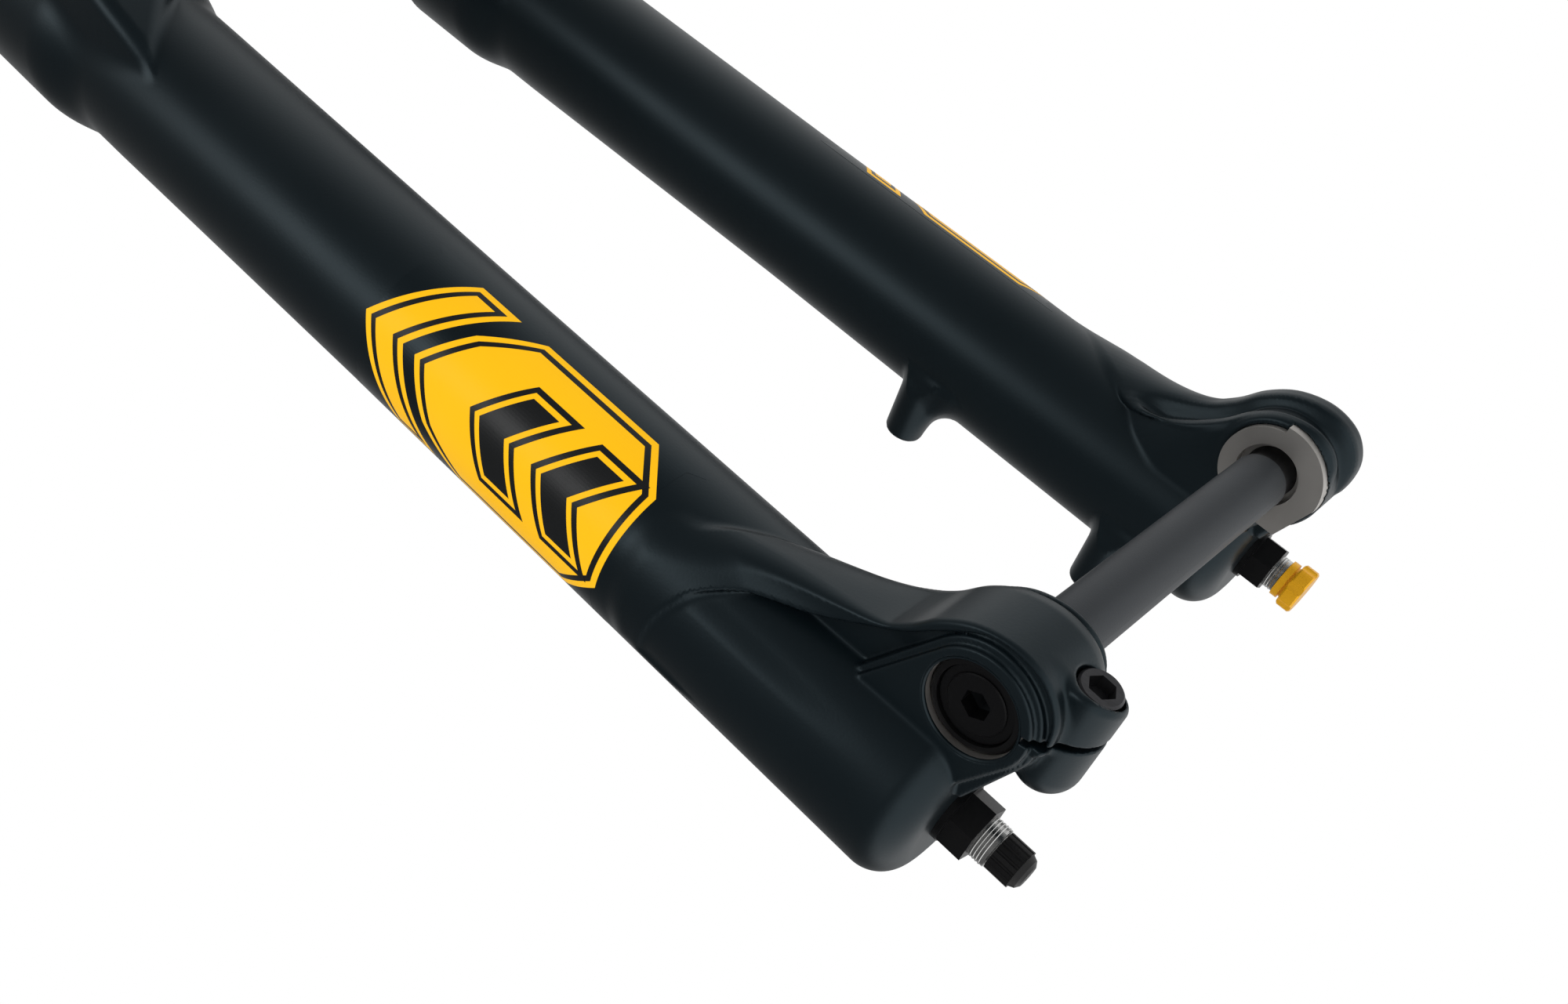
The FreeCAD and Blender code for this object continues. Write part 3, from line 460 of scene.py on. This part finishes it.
def spaced(*runs):
    """Grid lines from (start, step) pairs and a last value."""
    lines = []
    for (start, step), following in zip(runs[:-1], runs[1:]):
        end = following[0] if isinstance(following, tuple) else following
        count = max(1, int(round((end - start) / step)))
        lines += list(start + (end - start) * np.arange(count) / count)
    return np.array(lines + [runs[-1]])


def contour(xs, ys, zs, field, refine):
    """Quad mesh of field = 0: one vertex in each cell it crosses, moved onto the surface, and its normals."""
    shape = (len(xs), len(ys), len(zs))
    values = np.full(shape, FAR_OFF, np.float32)
    grid_y, grid_z = np.meshgrid(ys, zs, indexing="ij")
    slab = 8
    for i in range(0, shape[0], slab):
        part = xs[i:i + slab]
        px = np.repeat(part, grid_y.size)
        py = np.tile(grid_y.ravel(), len(part))
        pz = np.tile(grid_z.ravel(), len(part))
        values[i:i + slab] = field(px, py, pz).reshape((len(part),) + grid_y.shape)
    inside = values < 0
    cells = tuple(n - 1 for n in shape)
    axes = (xs, ys, zs)
    totals = np.zeros((np.prod(cells), 3))
    counts = np.zeros(np.prod(cells))
    faces = []
    for axis in range(3):
        low = [slice(None)] * 3
        high = [slice(None)] * 3
        low[axis] = slice(0, -1)
        high[axis] = slice(1, None)
        where = np.argwhere(inside[tuple(low)] != inside[tuple(high)])
        others = [k for k in range(3) if k != axis]
        keep = np.ones(len(where), bool)
        for k in others:
            keep &= (where[:, k] > 0) & (where[:, k] < shape[k] - 1)
        where = where[keep]
        ahead = where.copy()
        ahead[:, axis] += 1
        va = values[tuple(where.T)].astype(float)
        vb = values[tuple(ahead.T)].astype(float)
        t = va / (va - vb)
        points = np.stack([axes[k][where[:, k]] for k in range(3)], axis=1)
        points[:, axis] += t * (axes[axis][ahead[:, axis]] - axes[axis][where[:, axis]])
        ring = []
        for du, dv in ((0, 0), (1, 0), (1, 1), (0, 1)):
            cell = where.copy()
            cell[:, others[0]] -= 1 - du
            cell[:, others[1]] -= 1 - dv
            index = np.ravel_multi_index(tuple(cell.T), cells)
            ring.append(index)
            counts += np.bincount(index, minlength=counts.size)
            for k in range(3):
                totals[:, k] += np.bincount(index, weights=points[:, k], minlength=counts.size)
        quads = np.stack(ring, axis=1)
        flip = inside[tuple(where.T)]
        if axis == 1:
            flip = ~flip
        quads[~flip] = quads[~flip][:, ::-1]
        faces.append(quads)
    used = counts > 0
    number = np.full(counts.size, -1, np.int64)
    number[used] = np.arange(used.sum())
    verts = totals[used] / counts[used][:, None]
    quads = number[np.concatenate(faces)]
    tetra = np.array([(1, -1, -1), (-1, -1, 1), (-1, 1, -1), (1, 1, 1)], float)
    reach = 0.1
    longest_move = 0.5
    for _ in range(refine):
        gradient = np.zeros_like(verts)
        value = np.zeros(len(verts))
        for corner in tetra:
            p = verts + reach * corner
            d = field(p[:, 0], p[:, 1], p[:, 2])
            gradient += corner * d[:, None]
            value += d
        gradient /= 4.0 * reach
        value /= 4.0
        size = np.maximum((gradient ** 2).sum(axis=1), 0.05)
        move = -gradient * (value / size)[:, None]
        length = np.linalg.norm(move, axis=1)
        move *= np.minimum(1.0, longest_move / np.maximum(length, 1e-9))[:, None]
        verts = verts + move
    normals = gradient / np.maximum(np.linalg.norm(gradient, axis=1), 1e-9)[:, None]
    return verts, quads, normals


def mesh_object(name, verts, faces, material, body, normals=None, smooth=True):
    """A mesh piece from arrays in millimetres, riding on a body."""
    mesh = bpy.data.meshes.new(name)
    verts = np.asarray(verts, float) * MM
    if isinstance(faces, np.ndarray):
        mesh.vertices.add(len(verts))
        mesh.vertices.foreach_set("co", verts.ravel())
        mesh.loops.add(faces.size)
        mesh.loops.foreach_set("vertex_index", faces.ravel().astype(np.int32))
        mesh.polygons.add(len(faces))
        mesh.polygons.foreach_set("loop_start", np.arange(0, faces.size, faces.shape[1], dtype=np.int32))
        mesh.update(calc_edges=True)
    else:
        mesh.from_pydata([tuple(v) for v in verts], [], faces)
    mesh.validate()
    mesh.polygons.foreach_set("use_smooth", np.full(len(mesh.polygons), smooth))
    if normals is not None:
        mesh.normals_split_custom_set_from_vertices([tuple(n) for n in normals])
    mesh.materials.append(material)
    piece = bpy.data.objects.new(name, mesh)
    bpy.context.scene.collection.objects.link(piece)
    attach(piece, body)
    return piece


# ---------------------------------------------------------------- materials


def paint_shade_at_ends(nodes, links, place, colour, low, high, shade):
    """The colour's socket, turned to a painted shade below low and above high along the object's Y."""
    split = nodes.new("ShaderNodeSeparateXYZ")
    links.new(place.outputs["Object"], split.inputs["Vector"])
    either = nodes.new("ShaderNodeMath")
    either.operation = "ADD"
    for number, (limit, operation) in enumerate(((low, "LESS_THAN"), (high, "GREATER_THAN"))):
        test = nodes.new("ShaderNodeMath")
        test.operation = operation
        test.inputs[1].default_value = limit
        links.new(split.outputs["Y"], test.inputs[0])
        links.new(test.outputs["Value"], either.inputs[number])
    darken = nodes.new("ShaderNodeMix")
    darken.data_type = "RGBA"
    darken.inputs["B"].default_value = (*shade, 1.0)
    links.new(either.outputs["Value"], darken.inputs["Factor"])
    links.new(colour, darken.inputs["A"])
    return darken.outputs["Result"]


def finish(name, base, other, rough, spread, metallic=0.0, grain=900.0, bump=0.03, stretch=(1, 1, 1),
           specular=0.5, patch=60.0, tint=(1.0, 1.0, 1.0), painted_shade_at_ends=None):
    """Procedural finish: base drifting towards other, uneven roughness and a fine surface grain."""
    made = bpy.data.materials.new(name)
    made.use_nodes = True
    nodes, links = made.node_tree.nodes, made.node_tree.links
    shader = nodes["Principled BSDF"]
    shader.inputs["Metallic"].default_value = metallic
    shader.inputs["Specular IOR Level"].default_value = specular
    shader.inputs["Specular Tint"].default_value = (*tint, 1.0)
    place = nodes.new("ShaderNodeTexCoord")
    mapping = nodes.new("ShaderNodeMapping")
    mapping.inputs["Scale"].default_value = stretch
    links.new(place.outputs["Object"], mapping.inputs["Vector"])
    broad = nodes.new("ShaderNodeTexNoise")
    broad.inputs["Scale"].default_value = patch
    broad.inputs["Detail"].default_value = 4.0
    links.new(place.outputs["Object"], broad.inputs["Vector"])
    mix = nodes.new("ShaderNodeMix")
    mix.data_type = "RGBA"
    mix.inputs["A"].default_value = (*base, 1.0)
    mix.inputs["B"].default_value = (*other, 1.0)
    links.new(broad.outputs["Fac"], mix.inputs["Factor"])
    colour = mix.outputs["Result"]
    # Painted shade: the colour turns near black at the ends given
    if painted_shade_at_ends:
        colour = paint_shade_at_ends(nodes, links, place, colour, *painted_shade_at_ends)
    links.new(colour, shader.inputs["Base Color"])
    fine = nodes.new("ShaderNodeTexNoise")
    fine.inputs["Scale"].default_value = grain
    fine.inputs["Detail"].default_value = 3.0
    links.new(mapping.outputs["Vector"], fine.inputs["Vector"])
    both = nodes.new("ShaderNodeMath")
    both.operation = "MULTIPLY_ADD"
    both.inputs[1].default_value = 0.35
    links.new(fine.outputs["Fac"], both.inputs[0])
    links.new(broad.outputs["Fac"], both.inputs[2])
    span = nodes.new("ShaderNodeMapRange")
    span.inputs["From Min"].default_value = 0.3
    span.inputs["From Max"].default_value = 1.0
    span.inputs["To Min"].default_value = rough - spread
    span.inputs["To Max"].default_value = rough + spread
    links.new(both.outputs["Value"], span.inputs["Value"])
    links.new(span.outputs["Result"], shader.inputs["Roughness"])
    relief = nodes.new("ShaderNodeBump")
    relief.inputs["Strength"].default_value = bump
    relief.inputs["Distance"].default_value = 0.0004
    links.new(fine.outputs["Fac"], relief.inputs["Height"])
    links.new(relief.outputs["Normal"], shader.inputs["Normal"])
    return made


PAINT_COLOURS = ((0.0018, 0.0046, 0.0066), (0.0028, 0.0062, 0.0086))
PAINT_TINT = (0.70, 0.90, 1.0)
PAINT = finish("satin_black_paint", *PAINT_COLOURS, 0.39, 0.03, grain=1500.0, bump=0.05, specular=0.47,
               patch=25.0, tint=PAINT_TINT)
CROWN = finish("black_anodised", (0.010, 0.011, 0.012), (0.014, 0.015, 0.016), 0.36, 0.05,
               metallic=0.5, grain=2200.0, bump=0.06)
STANCHION = finish("dark_slick_coating", (0.020, 0.019, 0.020), (0.026, 0.025, 0.026), 0.16, 0.03,
                   metallic=0.85, grain=700.0, bump=0.015, stretch=(1, 1, 6))
ALLOY = finish("drawn_aluminium", (0.50, 0.50, 0.50), (0.58, 0.58, 0.57), 0.34, 0.06,
               metallic=1.0, grain=500.0, bump=0.06, stretch=(1, 1, 0.06))
BARE = finish("machined_aluminium", (0.46, 0.44, 0.42), (0.58, 0.56, 0.53), 0.42, 0.08,
              metallic=0.9, grain=1400.0, bump=0.12)
BLACK_STEEL = finish("black_oxide_steel", (0.010, 0.010, 0.011), (0.018, 0.018, 0.019), 0.32, 0.07,
                     metallic=0.7, grain=1600.0, bump=0.08)
BOLT_STEEL = finish("worn_dark_steel", (0.035, 0.035, 0.038), (0.075, 0.075, 0.080), 0.34, 0.08,
                    metallic=0.8, grain=1300.0, bump=0.12, patch=300.0)
# The axle's grey coat shows between its head and its thread, both given in metres along Y; past them its
# colour is turned near black, painted shade where the axle goes into the sleeve's bore and into the insert
AXLE = finish("matte_grey_anodised", (0.036, 0.041, 0.047), (0.046, 0.052, 0.058), 0.50, 0.05,
              metallic=0.5, grain=2600.0, bump=0.10, painted_shade_at_ends=(-0.0789, 0.0504, (0.004, 0.004, 0.005)))
BRIGHT = finish("bright_zinc_steel", (0.62, 0.62, 0.61), (0.78, 0.78, 0.77), 0.24, 0.07,
                metallic=1.0, grain=900.0, bump=0.08)
GOLD = finish("gold_anodised", (0.95, 0.44, 0.008), (1.0, 0.52, 0.014), 0.28, 0.05,
              metallic=0.4, grain=1500.0, bump=0.07)
PLASTIC = finish("black_nylon", (0.0025, 0.0025, 0.003), (0.005, 0.005, 0.0055), 0.40, 0.07,
                 grain=1500.0, bump=0.12, specular=0.35)
RUBBER = finish("seal_rubber", (0.012, 0.012, 0.012), (0.020, 0.020, 0.020), 0.62, 0.06,
                grain=1700.0, bump=0.20)
FOAM = finish("oiled_foam", (0.18, 0.15, 0.09), (0.30, 0.26, 0.16), 0.85, 0.08, grain=2400.0, bump=0.8)
LINING = finish("bushing_lining", (0.10, 0.12, 0.11), (0.16, 0.17, 0.15), 0.55, 0.06,
                metallic=0.4, grain=1800.0, bump=0.15)
BRASS = finish("turned_brass", (0.60, 0.42, 0.16), (0.72, 0.52, 0.22), 0.28, 0.06,
               metallic=1.0, grain=1000.0, bump=0.06)
YELLOW = finish("yellow_print", (0.98, 0.50, 0.001), (1.0, 0.54, 0.003), 0.36, 0.04,
                grain=1300.0, bump=0.03, specular=0.12, patch=35.0)
KEYLINE = finish("black_print", (0.006, 0.007, 0.0075), (0.009, 0.010, 0.011), 0.36, 0.04,
                 grain=1300.0, bump=0.03, specular=0.4)
FILM = finish("clear_film", *PAINT_COLOURS, 0.34, 0.03, grain=1100.0, bump=0.03, specular=0.47,
              tint=PAINT_TINT)

LOOKS = {
    CROWN: "fork_crown air_top_cap damper_top_cap air_seal_head damper_seal_head",
    STANCHION: "stanchion_left stanchion_right",
    ALLOY: "steerer_tube damper_tube air_piston damper_piston compression_valve",
    BARE: "axle_thread_insert",
    BLACK_STEEL: "foot_nut_left foot_nut_right axle_sleeve",
    BOLT_STEEL: "pinch_bolt",
    AXLE: "thru_axle",
    BRIGHT: "damper_shaft air_shaft rebound_rod compression_needle piston_shims piston_nut ramp_valve_pin"
            " main_valve_pin",
    GOLD: "rebound_knob low_speed_knob",
    PLASTIC: "ramp_valve_cap main_valve_cover high_speed_knob",
    RUBBER: "wiper_seal_left wiper_seal_right air_piston_seal bottom_out_bumper_left bottom_out_bumper_right"
            " air_top_out_bumper damper_top_out_bumper expansion_bladder",
    FOAM: "foam_ring_left foam_ring_right",
    LINING: "upper_bushing_left upper_bushing_right lower_bushing_left lower_bushing_right",
    BRASS: "ramp_valve_core main_valve_core",
}
for look, names in LOOKS.items():
    for node_name in names.split():
        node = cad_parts[node_name]
        for holder in node.material_slots:
            holder.link = "OBJECT"
            holder.material = look
        if not node.material_slots:
            node.data.materials.append(look)


# ---------------------------------------------------------------- build the casting


# Grid lines are closest round the dropouts, and the empty stretches are wide
COARSE = 1.0
xs = spaced((-67.0, 1.3 * COARSE), (-38.0, 0.7 * COARSE), (-2.0, 0.45 * COARSE), (7.0, 0.65 * COARSE), 22.5)
outward = spaced((-1.25, 2.5), (48.75, 0.65 * COARSE), (90.0, 1.1 * COARSE), 103.6)
ys = np.unique(np.round(np.concatenate([-outward[::-1], outward]), 4))
zs = spaced((-26.5, 0.55 * COARSE), (40.0, 0.8 * COARSE), (86.0, 1.5), (125.0, 8.0), (255.0, 1.1 * COARSE),
            416.0)
verts, quads, normals = contour(xs, ys, zs, casting, 3)
lowers = mesh_object("lowers_casting_skin", verts, quads, PAINT, "lowers", normals)
lowers.data.materials.append(BARE)
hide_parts("lower_legs_casting")

# The brake mounts' end faces are machined bare
FACE_DEPTH = 0.07
FACE_R = 5.2
middles = verts[quads].mean(axis=1)
machined = np.zeros(len(quads), bool)
for height in POSTS:
    off_centre = np.hypot(middles[:, 1] - POST_Y, middles[:, 2] - height)
    machined |= (middles[:, 0] < POST_FACE_X + FACE_DEPTH) & (off_centre < FACE_R)
lowers.data.polygons.foreach_set("material_index", machined.astype(np.int32))


# ---------------------------------------------------------------- liner and decals


def turned_ring(name, profile, material, body, steps=128):
    """Closed ring turned about the axle's line from (radius, outward place on the right side) pairs."""
    verts = []
    faces = []
    count = len(profile)
    for i in range(steps):
        a = 2.0 * math.pi * i / steps
        verts += [(r * math.cos(a), -w, r * math.sin(a)) for r, w in profile]
        near = i * count
        far = (i + 1) % steps * count
        for k in range(count):
            faces.append((near + k, near + (k + 1) % count, far + (k + 1) % count, far + k))
    ring = mesh_object(name, verts, faces, material, body, smooth=True)
    ring.data.set_sharp_from_angle(angle=math.radians(30.0))


# The liner of the sleeve's bore, then its painted lip with a bevel inside
LINER_IN = 58.3
LINER_OUT = 84.2
LIP_OUT = 84.95
LIP_BEVEL = 0.3
LINER = [(SLEEVE_BORE_R, LINER_IN), (11.45, LINER_IN), (11.45, LINER_OUT), (SLEEVE_BORE_R, LINER_OUT)]
LIP = [(SLEEVE_BORE_R, LINER_OUT), (11.5, LINER_OUT), (11.5, LIP_OUT), (SLEEVE_BORE_R + LIP_BEVEL, LIP_OUT),
       (SLEEVE_BORE_R, LIP_OUT - LIP_BEVEL)]
turned_ring("bore_face_ring", LINER, BARE, "lowers")
turned_ring("bore_lip_ring", LIP, PAINT, "lowers")


def leg_surface(angle, z, lift):
    """Point on the right leg's outside; angle in degrees about the leg, 0 forward and -90 outwards."""
    a = math.radians(angle)
    r = LEG_R + leg_growth(max(-math.cos(a), 0.0), z) + lift
    return (LEG_X + r * math.cos(a), -LEG_Y + r * math.sin(a), z)


def wrapped(name, rows, lift, material, mirrored, step=2.0):
    """Thin closed film on a leg between a lower and an upper line, given as (angle, low, high) rows."""
    if mirrored:
        rows = [(a - LEFT_TURN, low, high) for a, low, high in rows]
    corners = {round(a, 4) for a, _, _ in rows}
    between = {round(a, 4) for a in np.arange(rows[0][0], rows[-1][0], step)}
    stops = sorted(corners | between)
    table = np.array(rows, float)
    verts = []
    faces = []
    for a in stops:
        low, high = (float(np.interp(a, table[:, 0], table[:, k])) for k in (1, 2))
        for z, r in ((low, FILM_FOOT), (low, lift), (high, lift), (high, FILM_FOOT)):
            x, y, z = leg_surface(a, z, r)
            verts.append((x, -y if mirrored else y, z))
    for i in range(len(stops) - 1):
        b = 4 * i
        for k in range(4):
            faces.append((b + k, b + (k + 1) % 4, b + 4 + (k + 1) % 4, b + 4 + k))
    last = 4 * (len(stops) - 1)
    faces.append((3, 2, 1, 0))
    faces.append((last, last + 1, last + 2, last + 3))
    if not mirrored:
        faces = [tuple(reversed(f)) for f in faces]
    mesh_object(name, verts, faces, material, "lowers", smooth=False)


# Decals, with heights in millimetres and places round the leg in degrees
MM_PER_DEGREE = LEG_R * math.pi / 180.0
CENTRE = -62.5
HALF = 61.0
LEFT_TURN = 9.0
SLOPE = 17.0 / HALF
SLANT = math.hypot(1.0, SLOPE / MM_PER_DEGREE)
FILM_FOOT = -0.05
LAYER = 0.03
BORDER = 1.7
KEY_WIDTH = 1.5
BLOCK_LOW = 84.0
BLOCK_TOP = 156.0
BLOCK_CUT = 11.0
BAR_LOW = 160.5
BAR_HEIGHT = 14.5
GAP_LOWS = (97.0, 119.0)
GAP_HEIGHT = 16.0
GAP_HALF = 36.0
GAP_LINE = 1.5
GAP_CORE = 2.9


def block(inset):
    """Large block with a roof-shaped top and cut corners."""
    half = HALF - inset / MM_PER_DEGREE
    cut = BLOCK_CUT - 0.59 * inset
    top = BLOCK_TOP - inset * SLANT
    low = BLOCK_LOW + inset
    shoulder = half - cut / MM_PER_DEGREE
    edge = (low + cut, top - SLOPE * half - 0.5 * cut)
    eaves = (low, top - SLOPE * shoulder)
    return [(CENTRE - half, *edge), (CENTRE - shoulder, *eaves), (CENTRE, low, top),
            (CENTRE + shoulder, *eaves), (CENTRE + half, *edge)]


def chevron(base, height, half, inset=0.0):
    """Roof-shaped stripe."""
    half -= inset / MM_PER_DEGREE
    low = base + inset * SLANT
    high = base + height - inset * SLANT
    drops = [(CENTRE - half, -SLOPE * half), (CENTRE, 0.0), (CENTRE + half, -SLOPE * half)]
    return [(a, low + drop, high + drop) for a, drop in drops]


def bar(inset):
    """Roof-shaped bar above the block."""
    return chevron(BAR_LOW, BAR_HEIGHT, HALF, inset)


def film():
    """Clear carrier film, a little taller at its two sides than between them."""
    left = []
    for t in np.radians(np.linspace(90.0, 0.0, 7)):
        inwards = 1.0 - math.sin(t)
        left.append((-128.0 + 6.0 * inwards, 81.0 + 4.0 * inwards, 177.0 - 4.0 * inwards))
    right = [(2.0 * CENTRE - a, low, high) for a, low, high in reversed(left)]
    return left + right


for leg_name, mirrored in (("right", False), ("left", True)):
    wrapped("decal_film_" + leg_name, film(), LAYER, FILM, mirrored)
    for part, maker in (("block", block), ("bar", bar)):
        wrapped("decal_%s_edge_%s" % (part, leg_name), maker(0.0), 2 * LAYER, YELLOW, mirrored)
        wrapped("decal_%s_keyline_%s" % (part, leg_name), maker(BORDER), 3 * LAYER, KEYLINE, mirrored)
        wrapped("decal_%s_fill_%s" % (part, leg_name), maker(BORDER + KEY_WIDTH), 4 * LAYER, YELLOW, mirrored)
    for count, base in enumerate(GAP_LOWS):
        label = "decal_gap_%d_%s" % (count + 1, leg_name)
        wrapped(label, chevron(base, GAP_HEIGHT, GAP_HALF), 5 * LAYER, KEYLINE, mirrored)
        wrapped(label + "_line", chevron(base, GAP_HEIGHT, GAP_HALF, GAP_LINE), 6 * LAYER, YELLOW, mirrored)
        wrapped(label + "_core", chevron(base, GAP_HEIGHT, GAP_HALF, GAP_CORE), 7 * LAYER, KEYLINE, mirrored)


# ---------------------------------------------------------------- threads


def thread(name, y, low, high, pitch, root, crest):
    """Screw thread as one closed helical ridge round a shaft at the foot of a leg."""
    per_turn = 48
    run_out = per_turn / 4
    steps = int(per_turn * (high - low - pitch) / pitch)
    sunk = root - 0.1
    verts = []
    faces = []
    for i in range(steps + 1):
        a = 2.0 * math.pi * i / per_turn
        z = low + pitch / 2 + pitch * i / per_turn
        fade = min(1.0, i / run_out, (steps - i) / run_out)
        outer = root + 0.02 + (crest - root) * fade
        for r, dz in ((sunk, -0.44), (outer, -0.12), (outer, 0.12), (sunk, 0.44)):
            verts.append((LEG_X + r * math.cos(a), y + r * math.sin(a), z + dz * pitch))
    for i in range(steps):
        b = 4 * i
        for k in range(4):
            faces.append((b + k, b + 4 + k, b + 4 + (k + 1) % 4, b + (k + 1) % 4))
    last = 4 * steps
    faces.append((0, 1, 2, 3))
    faces.append((last + 3, last + 2, last + 1, last))
    mesh_object(name, verts, faces, BRIGHT, "lowers", smooth=False)


NUT_END = -13.9
THREAD_PITCH = 0.8
SHAFT_R = 5.0
THREAD_R = 5.12
thread("foot_thread_right", -LEG_Y, -18.1, NUT_END, THREAD_PITCH, SHAFT_R, THREAD_R)
thread("foot_thread_left", LEG_Y, -17.0, NUT_END, THREAD_PITCH, SHAFT_R, THREAD_R)


# ---------------------------------------------------------------- camera, stage and light


CAMERA_AT = Vector((0.19766, -0.28934, -0.04902))
RIGHT = Vector((0.3047, 0.6403, -0.7052)).normalized()
AHEAD = Vector((-0.6345, 0.6886, 0.3511)).normalized()
RIGHT = (RIGHT - AHEAD * RIGHT.dot(AHEAD)).normalized()
ABOVE = RIGHT.cross(AHEAD).normalized()
camera_data = bpy.data.cameras.new("camera")
camera_data.sensor_fit = "HORIZONTAL"
camera_data.sensor_width = 36.0
camera_data.lens = 33.416
camera_data.clip_start = 0.01
camera_data.clip_end = 50.0
camera = bpy.data.objects.new("camera", camera_data)
camera.matrix_world = Matrix.Translation(CAMERA_AT) @ Matrix((RIGHT, ABOVE, -AHEAD)).transposed().to_4x4()
bpy.context.scene.collection.objects.link(camera)
bpy.context.scene.camera = camera

# Floor, in metres; it lies below the camera's view
FLOOR_R = 1.2
FLOOR_Z = -0.4
FLOOR_SIDES = 96
turns = np.linspace(0.0, 2.0 * math.pi, FLOOR_SIDES, endpoint=False)
round_edge = [(FLOOR_R * math.cos(a), FLOOR_R * math.sin(a), FLOOR_Z) for a in turns]
floor_mesh = bpy.data.meshes.new("floor")
floor_mesh.from_pydata(round_edge, [], [tuple(range(FLOOR_SIDES))])
floor = bpy.data.objects.new("floor", floor_mesh)
floor_look = finish("pale_floor", (0.88, 0.88, 0.88), (0.90, 0.90, 0.90), 0.8, 0.05, grain=30.0, bump=0.0,
                    specular=0.1)
floor_mesh.materials.append(floor_look)
bpy.context.scene.collection.objects.link(floor)

# White surroundings for the camera and for soft light; in reflections only one side glows
world = bpy.data.worlds.new("studio")
world.use_nodes = True
sky = world.node_tree.nodes
wires = world.node_tree.links
sky["Background"].inputs["Color"].default_value = (1.0, 1.0, 1.0, 1.0)
kind = sky.new("ShaderNodeLightPath")
facing = sky.new("ShaderNodeTexCoord")
towards = sky.new("ShaderNodeVectorMath")
towards.operation = "DOT_PRODUCT"
towards.inputs[1].default_value = Vector((-0.10, 0.85, 0.50)).normalized()
wires.new(facing.outputs["Generated"], towards.inputs[0])
glow = sky.new("ShaderNodeMapRange")
glow.interpolation_type = "SMOOTHSTEP"
glow.inputs["From Min"].default_value = 0.1
glow.inputs["From Max"].default_value = 0.95
glow.inputs["To Min"].default_value = 0.11
glow.inputs["To Max"].default_value = 0.76
wires.new(towards.outputs["Value"], glow.inputs["Value"])
seen = sky.new("ShaderNodeMath")
seen.operation = "MAXIMUM"
wires.new(kind.outputs["Is Camera Ray"], seen.inputs[0])
wires.new(kind.outputs["Is Diffuse Ray"], seen.inputs[1])
strongest = sky.new("ShaderNodeMath")
strongest.operation = "MAXIMUM"
wires.new(seen.outputs["Value"], strongest.inputs[0])
wires.new(glow.outputs["Result"], strongest.inputs[1])
wires.new(strongest.outputs["Value"], sky["Background"].inputs["Strength"])
bpy.context.scene.world = world
bpy.context.scene.view_settings.view_transform = "Standard"


def softbox(name, place, target, width, height, power):
    """Rectangular studio light aimed at a point."""
    data = bpy.data.lights.new(name, "AREA")
    data.shape = "RECTANGLE"
    data.size = width
    data.size_y = height
    data.energy = power
    light = bpy.data.objects.new(name, data)
    light.location = place
    light.rotation_euler = (Vector(target) - Vector(place)).to_track_quat("-Z", "Y").to_euler()
    bpy.context.scene.collection.objects.link(light)


LIT_POINT = (-0.02, -0.03, 0.10)
softbox("side", (0.35, -1.09, 0.80), LIT_POINT, 0.45, 0.75, 2.4)
